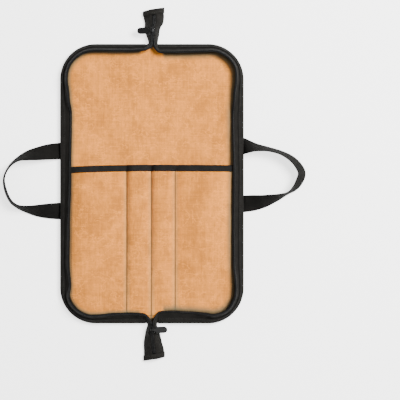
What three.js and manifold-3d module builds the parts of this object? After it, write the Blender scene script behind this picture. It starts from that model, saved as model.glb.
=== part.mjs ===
// A knife roll of waxed canvas, zipped round its edge, laid open with its four pockets facing up.
// Millimetres. The origin is the middle of the underside, +X the right half, +Y the top zip tail, +Z up.
import * as THREE from "three";
import { mergeVertices } from "three/addons/utils/BufferGeometryUtils.js";
import Module from "manifold-3d";

// Body
const bodyWidth = 274;
const bodyLength = 417;
const cornerRadius = 53;
const canvasThickness = 1.4;
const liningThickness = 1.0;
const layerGap = 0.3;
const restInset = 80; // the canvas lies flat on the table further in than this
const innerCornerShare = 0.14; // the layers' corner radius never drops below this share of the outer one
const cornerSteps = 8;
const topSteps = 4;
const sideSteps = 11;
const bottomSteps = 5;

// Edge binding
const bindingThickness = 1.0;
const bindingFlap = 8;
const panelInset = 1.8; // the layers stop this far inside the binding's fold
const foldStart = 0.7; // the lower flap turns up this far inside the layers' edge
const foldCut = 0.5; // the fold's corners are cut in by this much
const rimFlat = 12; // the rim is level out from here

// Zip
const zipTapeWidth = 16;
const zipTapeThickness = 1.0;
const coilRadius = 1.3;
const closedCoilHalfWidth = 2.75;
const neckHalfWidth = 6.3;
const neckMargin = 3; // the body's sections start this far beyond the neck
const neckRidge = 15;
const neckBack = 3.5; // the coils meet this far in from the body's edge
const lowestRise = 4.3;
const highestRise = 12.5;
const bendShare = 0.55; // the tape bends at this share of the way from its foot to the coil
const bodyBendRise = 0.15; // share of the rise that the tape has gained at its bend
const tailBendRise = 0.32; // share of the ridge that a tail's bend stands above the straight line
const slantFrom = 0.4; // a tail's end slants from this share of its length
const slantTo = 0.8;
const hemLength = 7;
const coilSides = 6;
const closedCoilSides = 8;

// Pockets
const pocketThickness = 1.0;
const pocketSideInset = 13.5;
const pocketBottomInset = 12.5;
const pocketCornerRadius = 38;
const pocketCornerMargin = 5; // the rows of the straight part stop this far above the corners
const mouthHeight = 28.2; // how far the mouth lies up from the body's middle
const mouthDropLeft = 3.9;
const mouthDropRight = 1.0;
const mouthPuff = 7;
const mouthBinding = 9.5;
const dividers = [-37.5, -0.75, 34.8];

// Handles
const webbingWidth = 25;
const webbingThickness = 1.6;
const handleBase = 43; // sewn length under the body
const handleBaseMargin = 3; // the canvas keeps its height this far beyond the sewn base
const handleReach = 87;
const handleSteps = 36;

// Sliders and pulls
const sliderLength = 12;
const sliderWidth = 10;
const sliderTailWidth = 7.6;
const sliderCorner = 2;
const sliderNose = 3;
const sliderMargin = 1.5; // the tail stays straight this far beyond a slider
const plateThickness = 1.3;
const plateRoom = 0.5; // between the tape and the upper plate
const lowerPlateDrop = 0.4; // the lower plate hangs this much further from the tape
const lowerPlateShare = 0.66; // of the upper plate's width
const bailBar = 1.3;
const bailHalfLength = 4;
const bailPost = 1.4;
const bailChamfer = 0.8;
const eyeClearance = 0.33;
const eyeWall = 0.9;
const eyeWidth = 3.4;
const tabOverlap = 0.3; // the tab starts this far into the eye's wall
const tabShoulder = 6; // from the tab's start to its full width
const tabNeck = 4; // from the tab's start to where it widens
const pullLength = 23;
const pullWidth = 9.5;
const pullThickness = 1.2;
const pullRim = 1.2;
const pullRimThickness = 2;
const pullRestAngle = THREE.MathUtils.degToRad(14); // below level, resting across the zip

// Heights of the layers at the rim, and how far the canvas is lifted over what is sewn beneath it.
const halfWidth = bodyWidth / 2;
const halfLength = bodyLength / 2;
const baseLift = webbingThickness + layerGap;
const rimLift = baseLift + bindingThickness + layerGap;
const liningSeat = canvasThickness + layerGap;
const pocketSeat = liningSeat + liningThickness;
const tapeSeat = rimLift + pocketSeat + layerGap + zipTapeThickness / 2;
const sliderClear = sliderLength / 2 + sliderMargin;
const eyeInner = (bailBar * Math.SQRT2) / 2 + eyeClearance;
const eyeOuter = eyeInner + eyeWall;
const plateLift = zipTapeThickness / 2 + plateRoom;
const pullAxisLift = plateLift + plateThickness + eyeOuter + layerGap;

// How far in the coil's edge lies from the body's edge, as shares of the zip tape's width, at places that are shares
// of the way round each half from the top middle to the bottom middle.
const coilRows = [
  { place: 0.0, left: 0.58, right: 0.75 },
  { place: 0.02, left: 0.68, right: 0.86 },
  { place: 0.05, left: 0.74, right: 0.86 },
  { place: 0.12, left: 0.72, right: 0.8 },
  { place: 0.16, left: 0.7, right: 0.68 },
  { place: 0.22, left: 0.68, right: 0.62 },
  { place: 0.26, left: 0.72, right: 0.76 },
  { place: 0.3, left: 0.88, right: 0.94 },
  { place: 0.34, left: 1.08, right: 1.08 },
  { place: 0.48, left: 1.01, right: 0.95 },
  { place: 0.6, left: 0.9, right: 1.02 },
  { place: 0.68, left: 0.86, right: 0.98 },
  { place: 0.735, left: 1.0, right: 0.8 },
  { place: 0.78, left: 0.72, right: 0.74 },
  { place: 0.81, left: 0.74, right: 0.66 },
  { place: 0.85, left: 0.78, right: 0.82 },
  { place: 0.88, left: 0.84, right: 1.0 },
  { place: 0.91, left: 0.96, right: 1.1 },
  { place: 0.95, left: 1.0, right: 1.18 },
  { place: 0.985, left: 0.95, right: 1.14 },
  { place: 1.0, left: 0.8, right: 0.92 },
];

// Each zip tail, from its neck at the body's edge to its end. out is a share of the length; centre and half are shares
// of the tape's width; ridge is a share of the neck's ridge; foot is how far the edges have come down to the table.
const tails = {
  top: {
    toward: 1,
    length: 52,
    sliderAt: 18.5,
    slant: 0.19,
    pullSide: -1,
    rows: [
      { out: 0.0, centre: 0.12, half: 0.4, ridge: 1.0, foot: 1.0 },
      { out: 0.35, centre: 0.05, half: 0.64, ridge: 0.97, foot: 0.6 },
      { out: 0.6, centre: 0.22, half: 0.85, ridge: 0.66, foot: 0.25 },
      { out: 0.75, centre: 0.2, half: 0.93, ridge: 0.42, foot: 0.08 },
      { out: 1.0, centre: -0.02, half: 0.97, ridge: 0.24, foot: 0.0 },
    ],
  },
  bottom: {
    toward: -1,
    length: 53.5,
    sliderAt: 8.5,
    slant: 0.18,
    pullSide: 1,
    rows: [
      { out: 0.0, centre: 0.02, half: 0.4, ridge: 1.0, foot: 1.0 },
      { out: 0.27, centre: 0.06, half: 0.66, ridge: 0.93, foot: 0.6 },
      { out: 0.52, centre: 0.08, half: 0.83, ridge: 0.66, foot: 0.25 },
      { out: 0.75, centre: 0.18, half: 0.91, ridge: 0.4, foot: 0.08 },
      { out: 1.0, centre: 0.28, half: 1.0, ridge: 0.24, foot: 0.0 },
    ],
  },
};

// Each handle's webbing from its upper root to its lower one. out is a share of the reach, up a share of half the
// distance between the roots, and flat the share of its width that shows from above as it turns on edge.
const handles = {
  left: {
    side: -1,
    middle: 4,
    halfSpread: 44.8,
    rows: [
      { out: 0.0, up: 1.0, flat: 1.0 },
      { out: 0.19, up: 0.97, flat: 0.94 },
      { out: 0.38, up: 0.91, flat: 0.8 },
      { out: 0.54, up: 0.85, flat: 0.62 },
      { out: 0.71, up: 0.73, flat: 0.32 },
      { out: 0.86, up: 0.48, flat: 0.2 },
      { out: 0.95, up: 0.1, flat: 0.2 },
      { out: 0.925, up: -0.3, flat: 0.25 },
      { out: 0.84, up: -0.66, flat: 0.25 },
      { out: 0.71, up: -0.86, flat: 0.26 },
      { out: 0.54, up: -0.95, flat: 0.47 },
      { out: 0.38, up: -0.99, flat: 0.71 },
      { out: 0.19, up: -1.0, flat: 0.9 },
      { out: 0.0, up: -1.0, flat: 1.0 },
    ],
  },
  right: {
    side: 1,
    middle: 13,
    halfSpread: 43,
    rows: [
      { out: 0.0, up: 1.0, flat: 1.0 },
      { out: 0.1, up: 0.98, flat: 0.74 },
      { out: 0.22, up: 0.95, flat: 0.48 },
      { out: 0.42, up: 0.89, flat: 0.3 },
      { out: 0.63, up: 0.77, flat: 0.28 },
      { out: 0.81, up: 0.57, flat: 0.38 },
      { out: 0.93, up: 0.32, flat: 0.46 },
      { out: 0.99, up: 0.05, flat: 0.5 },
      { out: 0.94, up: -0.25, flat: 0.46 },
      { out: 0.86, up: -0.47, flat: 0.32 },
      { out: 0.75, up: -0.63, flat: 0.15 },
      { out: 0.6, up: -0.76, flat: 0.36 },
      { out: 0.44, up: -0.86, flat: 0.62 },
      { out: 0.3, up: -0.93, flat: 0.8 },
      { out: 0.16, up: -0.97, flat: 0.94 },
      { out: 0.0, up: -1.0, flat: 1.0 },
    ],
  },
};

// How full a pocket stands at a share of the way down from its mouth, and how far its seams are held off the lining.
const pocketRows = [
  { down: 0.0, puff: 1.0, hold: 1.0 },
  { down: 0.045, puff: 1.0, hold: 1.0 },
  { down: 0.12, puff: 0.97, hold: 0.0 },
  { down: 0.3, puff: 0.9, hold: 0.0 },
  { down: 0.5, puff: 0.78, hold: 0.0 },
  { down: 0.66, puff: 0.6, hold: 0.0 },
  { down: 0.81, puff: 0.38, hold: 0.0 },
  { down: 0.92, puff: 0.14, hold: 0.0 },
  { down: 1.0, puff: 0.0, hold: 0.0 },
];
const pocketShares = [0, 0.08, 0.25, 0.5, 0.75, 0.92];

const wasm = await Module();
wasm.setup();

// Value of a column at a key, eased from row to row.
function ease(rows, key, column, at) {
  const next = rows.findIndex((row) => row[key] > at);
  if (next === 0) return rows[0][column];
  if (next < 0) return rows[rows.length - 1][column];
  const low = rows[next - 1];
  const high = rows[next];
  const share = THREE.MathUtils.smoothstep(at, low[key], high[key]);
  return THREE.MathUtils.lerp(low[column], high[column], share);
}

// Numbers from one value to another in equal steps, both ends included.
function steps(from, to, count) {
  return Array.from({ length: count + 1 }, (_, i) => from + ((to - from) * i) / count);
}

// Geometry from shared points and triangles, turned to face outwards.
function closedGeometry(points, triangles) {
  const volume = triangles.reduce(
    (sum, [a, b, c]) => sum + points[a].dot(new THREE.Vector3().crossVectors(points[b], points[c])),
    0,
  );
  const faces = volume < 0 ? triangles.map(([a, b, c]) => [a, c, b]) : triangles;
  const geometry = new THREE.BufferGeometry().setFromPoints(points);
  geometry.setIndex(faces.flat());
  geometry.computeVertexNormals();
  return geometry;
}

// Closed wall between two grids of the same size, each made of rows of points.
function wall(outer, inner) {
  const rows = outer.length;
  const columns = outer[0].length;
  const at = (layer, row, column) => (layer * rows + row) * columns + column;
  const triangles = [];
  const quad = (a, b, c, d) => triangles.push([a, b, c], [a, c, d]);
  for (let r = 0; r < rows - 1; r++) {
    for (let c = 0; c < columns - 1; c++) {
      quad(at(0, r, c), at(0, r, c + 1), at(0, r + 1, c + 1), at(0, r + 1, c));
      quad(at(1, r, c), at(1, r + 1, c), at(1, r + 1, c + 1), at(1, r, c + 1));
    }
    const last = columns - 1;
    quad(at(0, r, 0), at(0, r + 1, 0), at(1, r + 1, 0), at(1, r, 0));
    quad(at(1, r, last), at(1, r + 1, last), at(0, r + 1, last), at(0, r, last));
  }
  for (let c = 0; c < columns - 1; c++) {
    const last = rows - 1;
    quad(at(1, 0, c), at(1, 0, c + 1), at(0, 0, c + 1), at(0, 0, c));
    quad(at(0, last, c), at(0, last, c + 1), at(1, last, c + 1), at(1, last, c));
  }
  return closedGeometry([...outer.flat(), ...inner.flat()], triangles);
}

// Closed body through loops of the same number of points, with a fan over the first and the last loop.
function loft(loops) {
  const count = loops[0].length;
  const points = loops.flat();
  const triangles = [];
  for (let l = 0; l < loops.length - 1; l++) {
    for (let i = 0; i < count; i++) {
      const a = l * count + i;
      const b = l * count + ((i + 1) % count);
      triangles.push([a, b, b + count], [a, b + count, a + count]);
    }
  }
  const middle = (loop) => loop.reduce((sum, p) => sum.add(p), new THREE.Vector3()).divideScalar(count);
  const first = points.push(middle(loops[0])) - 1;
  const last = points.push(middle(loops[loops.length - 1])) - 1;
  const end = (loops.length - 1) * count;
  for (let i = 0; i < count; i++) {
    triangles.push([first, (i + 1) % count, i], [last, end + i, end + ((i + 1) % count)]);
  }
  return closedGeometry(points, triangles);
}

// One body from several closed geometries.
function fuse(geometries) {
  const solids = geometries.map((geometry) => {
    const bare = new THREE.BufferGeometry();
    bare.setAttribute("position", geometry.getAttribute("position").clone());
    if (geometry.index) bare.setIndex(geometry.index.clone());
    const merged = mergeVertices(bare, 1e-4);
    const vertProperties = new Float32Array(merged.attributes.position.array);
    return new wasm.Manifold(
      new wasm.Mesh({ numProp: 3, vertProperties, triVerts: new Uint32Array(merged.index.array) }),
    );
  });
  const mesh = solids.reduce((whole, solid) => whole.add(solid)).getMesh();
  const geometry = new THREE.BufferGeometry();
  geometry.setAttribute("position", new THREE.BufferAttribute(new Float32Array(mesh.vertProperties), 3));
  geometry.setIndex(new THREE.BufferAttribute(new Uint32Array(mesh.triVerts), 1));
  geometry.computeVertexNormals();
  return geometry;
}

// Point of the half's edge at a share of the way round, with its inward direction.
function edgeAt(side, place) {
  const straight = halfWidth - cornerRadius;
  const arc = (cornerRadius * Math.PI) / 2;
  const long = bodyLength - 2 * cornerRadius;
  const total = 2 * (straight + arc) + long;
  const s = place * total;
  const point = (x, y, inX, inY) => ({ x: side * x, y, inX: side * inX, inY });
  const corner = (turn, up) =>
    point(
      straight + cornerRadius * Math.sin(turn),
      up * (halfLength - cornerRadius + cornerRadius * Math.cos(turn)),
      -Math.sin(turn),
      -up * Math.cos(turn),
    );
  if (s <= straight) return point(s, halfLength, 0, -1);
  if (s < straight + arc) return corner((s - straight) / cornerRadius, 1);
  if (s <= straight + arc + long) return point(halfWidth, halfLength - cornerRadius - (s - straight - arc), -1, 0);
  if (s < total - straight) return corner((total - straight - s) / cornerRadius, -1);
  return point(total - s, -halfLength, 0, 1);
}

// Places round a half that its binding, tape and coil share.
function bodyPlaces() {
  const straight = halfWidth - cornerRadius;
  const arc = (cornerRadius * Math.PI) / 2;
  const total = 2 * (straight + arc) + bodyLength - 2 * cornerRadius;
  const start = (neckHalfWidth + neckMargin) / total;
  const corner = straight / total;
  const side = (straight + arc) / total;
  return [
    ...steps(start, corner, topSteps),
    ...steps(corner, side, cornerSteps).slice(1),
    ...steps(side, 1 - side, sideSteps).slice(1),
    ...steps(1 - side, 1 - corner, cornerSteps).slice(1),
    ...steps(1 - corner, 1 - start, bottomSteps).slice(1),
  ];
}

// Point over the rim, inset from the body's edge.
function rimPoint(side, place, inset, height) {
  const edge = edgeAt(side, place);
  return new THREE.Vector3(edge.x + edge.inX * inset, edge.y + edge.inY * inset, height);
}

// Section of a zip half over the body: the sewn foot, the bend of the tape and the middle of the coil.
function bodySection(side, place) {
  const reach = zipTapeWidth * ease(coilRows, "place", side < 0 ? "left" : "right", place);
  const run = Math.min(reach - panelInset, zipTapeWidth);
  const rise = THREE.MathUtils.clamp(Math.sqrt(zipTapeWidth ** 2 - run ** 2), lowestRise, highestRise);
  const foot = rimPoint(side, place, panelInset, tapeSeat);
  const coil = rimPoint(side, place, reach - coilRadius, tapeSeat + rise);
  const bend = foot.clone().lerp(coil, bendShare);
  bend.z = tapeSeat + bodyBendRise * rise;
  return tapeSection(foot, bend, coil, coilRadius);
}

// Section of a zip half in a tail, this far out from the body's edge.
function tailSection(side, tail, out) {
  const level = Math.abs(out - tail.sliderAt) < sliderClear + 1e-6 ? tail.sliderAt : out;
  const held = Math.min(out, hemStart(tail)) / tail.length;
  const row = (column, share) => ease(tail.rows, "out", column, share);
  const centre = zipTapeWidth * row("centre", Math.min(level / tail.length, held));
  const ridge = tapeSeat + (neckRidge - tapeSeat) * row("ridge", Math.min(level / tail.length, held));
  const lowest = zipTapeThickness / 2 + 2 * layerGap + bindingThickness;
  const footHeight = THREE.MathUtils.lerp(lowest, tapeSeat, row("foot", held));
  const reach = zipTapeWidth * row("half", held);
  const y = tail.toward * (halfLength + out);
  const lean = tail.slant * THREE.MathUtils.smoothstep(held, slantFrom, slantTo);
  const foot = new THREE.Vector3(centre + side * reach, y + lean * side * reach, footHeight);
  const coil = new THREE.Vector3(centre + side * (coilRadius + layerGap / 2), y, ridge);
  if (out <= 0) coil.y -= tail.toward * neckBack;
  const bend = foot.clone().lerp(coil, bendShare);
  bend.z += tailBendRise * (ridge - footHeight);
  return tapeSection(foot, bend, coil, closedCoilHalfWidth - layerGap / 2);
}

// The tape stops short of the coil, which keeps its own room and a gap.
function tapeSection(foot, bend, coil, room) {
  const toward = bend.clone().sub(coil).normalize();
  const end = coil.clone().addScaledVector(toward, room + layerGap);
  return { foot, bend, coil, end };
}

// Point across a tape section, lifted off its middle surface.
function tapePoint(section, across, lift) {
  const curve = new THREE.QuadraticBezierCurve3(section.foot, section.bend, section.end);
  const tangent = curve.getTangent(across);
  const up = new THREE.Vector3(0, 0, 1).addScaledVector(tangent, -tangent.z).normalize();
  return curve.getPoint(across).addScaledVector(up, lift);
}

// Distances out along a tail at which its sections are taken.
function tailPlaces(tail) {
  const near = tail.sliderAt - sliderClear;
  const far = tail.sliderAt + sliderClear;
  return [0, near, far, ...steps(far, hemStart(tail), 3).slice(1), tapeEnd(tail)];
}

// The tape ends inside the hem's fold, and is level from where the hem starts.
function tapeEnd(tail) {
  return tail.length - bindingThickness - 2 * layerGap;
}

function hemStart(tail) {
  return tapeEnd(tail) - hemLength - 2 * layerGap;
}

// All sections of a zip half, from the top tail's end round the body to the bottom tail's end.
function zipSections(side) {
  return [
    ...tailPlaces(tails.top).map((out) => tailSection(side, tails.top, out)).reverse(),
    ...bodyPlaces().map((place) => bodySection(side, place)),
    ...tailPlaces(tails.bottom).map((out) => tailSection(side, tails.bottom, out)),
  ];
}

// Places across the tape, from its sewn foot to the coil.
const tapeShares = [0, 0.25, 0.5, 0.75, 1];

function zipTape(side) {
  const layer = (lift) => zipSections(side).map((section) => tapeShares.map((share) => tapePoint(section, share, lift)));
  return wall(layer(zipTapeThickness / 2), layer(-zipTapeThickness / 2));
}

// Loop of points round a centre, square to a direction that lies level.
function ringRound(centre, direction, halfAcross, halfHigh, count) {
  const across = new THREE.Vector3(direction.y, -direction.x, 0).normalize();
  return steps(0, 2 * Math.PI, count)
    .slice(0, count)
    .map((turn) =>
      centre
        .clone()
        .addScaledVector(across, halfAcross * Math.cos(turn))
        .add(new THREE.Vector3(0, 0, halfHigh * Math.sin(turn))),
    );
}

// Round body along a list of points.
function rod(points, halfAcross, halfHigh, count) {
  const loops = points.map((point, i) => {
    const before = points[Math.max(i - 1, 0)];
    const after = points[Math.min(i + 1, points.length - 1)];
    return ringRound(point, after.clone().sub(before), halfAcross, halfHigh, count);
  });
  return loft(loops);
}

// The open coil of a half stops where it enters the sliders.
function zipCoil(side) {
  const entry = (tail) => tail.sliderAt - sliderLength / 2 - layerGap;
  const inTail = (tail) => [0, entry(tail)].map((out) => tailSection(side, tail, out).coil);
  return rod(
    [
      ...inTail(tails.top).reverse(),
      ...bodyPlaces().map((place) => bodySection(side, place).coil),
      ...inTail(tails.bottom),
    ],
    coilRadius,
    coilRadius,
    coilSides,
  );
}

// The closed coil of a tail runs from the slider to the hem.
function closedCoil(tail) {
  const from = tail.sliderAt + sliderLength / 2 + layerGap;
  const to = tapeEnd(tail) - hemLength - 2 * layerGap;
  const points = [from, ...steps(tail.sliderAt + sliderClear, to, 4)].map((out) => {
    const left = tailSection(-1, tail, out).coil;
    const right = tailSection(1, tail, out).coil;
    return left.lerp(right, 0.5);
  });
  return rod(points, closedCoilHalfWidth, coilRadius, closedCoilSides);
}

// The hem folds over the tail's end, across both halves of the tape.
function tailHem(tail) {
  const end = tapeEnd(tail);
  const near = zipTapeThickness / 2 + layerGap;
  const far = near + bindingThickness;
  const stations = [-1, 1].flatMap((side) => {
    const across = side < 0 ? [0, 0.5, 1] : [1, 0.5, 0];
    return across.map((a) => ({ section: tailSection(side, tail, end), a }));
  });
  const layer = (lift, nose) =>
    stations.map(({ section, a }) => {
      const at = (out, up) => tapePoint(section, a, up).add(new THREE.Vector3(0, tail.toward * out, 0));
      return [
        at(-hemLength, lift),
        at(0, lift),
        at(nose, lift / 3),
        at(nose, -lift / 3),
        at(0, -lift),
        at(-hemLength, -lift),
      ];
    });
  return wall(layer(far, bindingThickness + layerGap), layer(near, layerGap));
}

// The binding folds over all the layers at a half's edge. Its upper flap follows the zip tape.
function edgeBinding(side) {
  const near = zipTapeThickness / 2 + layerGap;
  const far = near + bindingThickness;
  const low = baseLift;
  const noseHeight = (low + tapeSeat) / 2;
  const layer = (lift, inset, bottom) =>
    bodyPlaces().map((place) => {
      const section = bodySection(side, place);
      const at = (d, z) => rimPoint(side, place, d, z);
      return [
        at(bindingFlap, bottom),
        at(panelInset + foldStart, bottom),
        at(inset + foldCut, low + bindingThickness),
        at(inset, noseHeight),
        at(inset + foldCut, tapeSeat + layerGap),
        ...tapeShares.slice(0, 3).map((share) => tapePoint(section, share, lift)),
      ];
    });
  const outer = layer(far, 0, low);
  const inner = layer(near, bindingThickness, low + bindingThickness);
  return wall(outer, inner);
}

// Loop of the body's outline, inset and at one height.
function outlineLoop(inset, height) {
  const radius = Math.max(cornerRadius - inset, innerCornerShare * cornerRadius);
  const x = halfWidth - inset - radius;
  const y = halfLength - inset - radius;
  return [0, 1, 2, 3].flatMap((quarter) => {
    const centreX = quarter === 0 || quarter === 3 ? x : -x;
    const centreY = quarter < 2 ? y : -y;
    return steps(0, Math.PI / 2, cornerSteps).map((turn) => {
      const a = turn + (quarter * Math.PI) / 2;
      return new THREE.Vector3(centreX + radius * Math.cos(a), centreY + radius * Math.sin(a), height);
    });
  });
}

// How far the canvas is lifted at a distance in from the body's edge.
const liftRows = [
  { inset: rimFlat, lift: rimLift },
  { inset: handleBase + handleBaseMargin, lift: baseLift },
  { inset: restInset, lift: 0 },
];

function liftAt(inset) {
  if (inset <= rimFlat) return rimLift;
  const next = liftRows.findIndex((row) => row.inset > inset);
  if (next < 0) return 0;
  const low = liftRows[next - 1];
  const high = liftRows[next];
  return THREE.MathUtils.mapLinear(inset, low.inset, high.inset, low.lift, high.lift);
}

// A flat layer of the body: level in the middle and lifted to the rim.
function bodyLayer(seat, thickness) {
  const insets = [panelInset, ...liftRows.map((row) => row.inset)];
  const loops = (height) => insets.map((inset) => outlineLoop(inset, height + liftAt(inset)));
  return loft([...loops(seat).reverse(), ...loops(seat + thickness)]);
}

// Distance of a place on the body in from its edge.
function insetAt(x, y) {
  const cornerX = Math.abs(x) - (halfWidth - cornerRadius);
  const cornerY = Math.abs(y) - (halfLength - cornerRadius);
  const outside = Math.hypot(Math.max(cornerX, 0), Math.max(cornerY, 0));
  return cornerRadius - (outside + Math.min(Math.max(cornerX, cornerY), 0));
}

function mouthAt(x) {
  const drop = x < 0 ? mouthDropLeft : mouthDropRight;
  return mouthHeight - drop * (x / halfWidth) ** 2;
}

// Rows of the pocket cloth from the mouth down, with the half width at each.
function pocketLevels() {
  const bottom = -(halfLength - pocketBottomInset);
  const cornerTop = bottom + pocketCornerRadius;
  const wide = halfWidth - pocketSideInset;
  const depth = mouthHeight - bottom;
  const straight = pocketRows.filter((row) => mouthHeight - row.down * depth > cornerTop + pocketCornerMargin);
  const turns = steps(0, Math.PI / 2, 5);
  return [
    ...straight.map((row) => ({ down: row.down, half: wide })),
    ...turns.map((turn) => ({
      down: (mouthHeight - cornerTop + pocketCornerRadius * Math.sin(turn)) / depth,
      half: wide - pocketCornerRadius * (1 - Math.cos(turn)),
    })),
  ];
}

// Middle surface of the pocket cloth: held down at each divider and puffed between.
function pocketPoint(level, pocket, share, lift) {
  const left = pocket === 0 ? -level.half : dividers[pocket - 1];
  const right = pocket === dividers.length ? level.half : dividers[pocket];
  const x = THREE.MathUtils.lerp(left, right, share);
  const bottom = -(halfLength - pocketBottomInset);
  const top = mouthAt(x) - bindingThickness - layerGap;
  const y = THREE.MathUtils.lerp(top, bottom, level.down);
  const arch = 1 - (2 * share - 1) ** 4;
  const puff = mouthPuff * ease(pocketRows, "down", "puff", level.down) * arch;
  const hold = (bindingThickness + layerGap) * ease(pocketRows, "down", "hold", level.down);
  const seat = pocketSeat + liftAt(insetAt(x, y)) + layerGap + pocketThickness / 2;
  return new THREE.Vector3(x, y, seat + hold + puff + lift);
}

function pocketColumns() {
  const columns = [...dividers, 0].flatMap((_, pocket) => pocketShares.map((share) => ({ pocket, share })));
  return [...columns, { pocket: dividers.length, share: 1 }];
}

function pocketPanel() {
  const layer = (lift) =>
    pocketLevels().map((level) => pocketColumns().map(({ pocket, share }) => pocketPoint(level, pocket, share, lift)));
  return wall(layer(pocketThickness / 2), layer(-pocketThickness / 2));
}

// The mouth's binding folds over the top edge of the pocket cloth.
function pocketBinding() {
  const near = pocketThickness / 2 + layerGap;
  const far = near + bindingThickness;
  const mouth = pocketLevels()[0];
  const layer = (lift, nose) =>
    pocketColumns().map(({ pocket, share }) => {
      const at = (up, high) => pocketPoint(mouth, pocket, share, high).add(new THREE.Vector3(0, up, 0));
      const flap = mouthBinding - bindingThickness - layerGap;
      return [at(-flap, lift), at(0, lift), at(nose, lift / 3), at(nose, -lift / 3), at(0, -lift), at(-flap, -lift)];
    });
  return wall(layer(far, bindingThickness + layerGap), layer(near, layerGap));
}

// Webbing from one sewn base round the loop to the other.
function handle({ side, middle, halfSpread, rows }) {
  const curve = new THREE.CatmullRomCurve3(
    rows.map((row) => new THREE.Vector3(row.out, row.up, row.flat)),
    false,
    "centripetal",
  );
  const place = (out, up) => new THREE.Vector2(side * (halfWidth + out * handleReach), middle + up * halfSpread);
  const stations = curve
    .getPoints(handleSteps)
    .map((p) => ({ at: place(p.x, p.y), flat: THREE.MathUtils.clamp(p.z, 0, 1) }));
  const base = (up) => ({ at: new THREE.Vector2(side * (halfWidth - handleBase), middle + up * halfSpread), flat: 1 });
  const all = [base(1), ...stations, base(-1)];
  const layer = (face) =>
    all.map(({ at, flat }, i) => {
      const before = all[Math.max(i - 1, 0)].at;
      const after = all[Math.min(i + 1, all.length - 1)].at;
      const along = after.clone().sub(before).normalize();
      const outward = new THREE.Vector3(-side * -along.y, -side * along.x, 0);
      const onEdge = Math.sqrt(1 - flat ** 2);
      const across = outward.clone().multiplyScalar(flat).add(new THREE.Vector3(0, 0, onEdge));
      const through = outward.clone().multiplyScalar(-onEdge).add(new THREE.Vector3(0, 0, flat));
      const height = (webbingWidth / 2) * onEdge + (webbingThickness / 2) * flat;
      const centre = new THREE.Vector3(at.x, at.y, height);
      return [-0.5, 0.5].map((share) =>
        centre
          .clone()
          .addScaledVector(across, share * webbingWidth)
          .addScaledVector(through, (face * webbingThickness) / 2),
      );
    });
  return wall(layer(1), layer(-1));
}

// Flat plate from an outline, its lower face at a height.
function plate(shape, height, thickness) {
  const geometry = new THREE.ExtrudeGeometry(shape, { depth: thickness, bevelEnabled: false, curveSegments: 5 });
  return geometry.translate(0, 0, height);
}

// Outline of a slider's plates, wide at the end that faces the body.
function sliderOutline(width, tailWidth) {
  const half = sliderLength / 2;
  const shape = new THREE.Shape();
  shape.moveTo(-width / 2 + sliderCorner, -half);
  shape.lineTo(width / 2 - sliderCorner, -half);
  shape.quadraticCurveTo(width / 2, -half, width / 2, -half + sliderCorner);
  shape.lineTo(tailWidth / 2, half - sliderNose);
  shape.quadraticCurveTo(tailWidth / 2, half, 0, half);
  shape.quadraticCurveTo(-tailWidth / 2, half, -tailWidth / 2, half - sliderNose);
  shape.lineTo(-width / 2, -half + sliderCorner);
  shape.quadraticCurveTo(-width / 2, -half, -width / 2 + sliderCorner, -half);
  return shape;
}

// The bail: an arch along the zip whose bar carries the pull's eye.
function bail() {
  const foot = plateLift + plateThickness / 2;
  const barTop = pullAxisLift + bailBar / 2;
  const barBottom = pullAxisLift - bailBar / 2;
  const inner = bailHalfLength - bailPost;
  const shape = new THREE.Shape();
  shape.moveTo(-bailHalfLength, foot);
  shape.lineTo(-inner, foot);
  shape.lineTo(-inner, barBottom);
  shape.lineTo(inner, barBottom);
  shape.lineTo(inner, foot);
  shape.lineTo(bailHalfLength, foot);
  shape.lineTo(bailHalfLength, barTop - bailChamfer);
  shape.lineTo(bailHalfLength - bailChamfer, barTop);
  shape.lineTo(bailChamfer - bailHalfLength, barTop);
  shape.lineTo(-bailHalfLength, barTop - bailChamfer);
  shape.closePath();
  const geometry = new THREE.ExtrudeGeometry(shape, { depth: bailBar, bevelEnabled: false });
  geometry.translate(0, 0, -bailBar / 2);
  return geometry.rotateX(Math.PI / 2).rotateZ(Math.PI / 2);
}

function slider() {
  const core = new THREE.BoxGeometry(2 * closedCoilHalfWidth, sliderLength, 2 * plateLift + plateThickness);
  core.translate(0, 0, -plateThickness / 4);
  const lower = -(plateLift + lowerPlateDrop + plateThickness);
  return fuse([
    plate(sliderOutline(sliderWidth, sliderTailWidth), plateLift, plateThickness),
    plate(sliderOutline(lowerPlateShare * sliderWidth, lowerPlateShare * sliderTailWidth), lower, plateThickness),
    core,
    bail(),
  ]);
}

// Outline of the pull's tab, reduced by a margin.
function pullOutline(margin) {
  const start = eyeInner + tabOverlap + margin;
  const end = pullLength - margin;
  const wide = pullWidth / 2 - margin;
  const slim = eyeWidth / 2 - margin / 3;
  const shape = new THREE.Shape();
  shape.moveTo(start, -slim);
  shape.quadraticCurveTo(start + tabNeck, -slim, start + tabShoulder, -wide);
  shape.lineTo(end - wide, -wide);
  shape.absarc(end - wide, 0, wide, -Math.PI / 2, Math.PI / 2, false);
  shape.lineTo(start + tabShoulder, wide);
  shape.quadraticCurveTo(start + tabNeck, slim, start, slim);
  shape.closePath();
  return shape;
}

// A tab with a raised rim, and an eye that goes round the bail's bar. Its length lies along +X.
function pull() {
  const eyeShape = new THREE.Shape().absarc(0, 0, eyeOuter, 0, 2 * Math.PI, false);
  eyeShape.holes.push(new THREE.Path().absarc(0, 0, eyeInner, 0, 2 * Math.PI, true));
  const eye = new THREE.ExtrudeGeometry(eyeShape, { depth: eyeWidth, bevelEnabled: false, curveSegments: 9 });
  eye.translate(0, 0, -eyeWidth / 2).rotateX(Math.PI / 2);
  const rim = pullOutline(0);
  rim.holes.push(pullOutline(pullRim));
  return fuse([
    eye,
    plate(pullOutline(0), -pullThickness / 2, pullThickness),
    plate(rim, -pullRimThickness / 2, pullRimThickness),
  ]);
}

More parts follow.
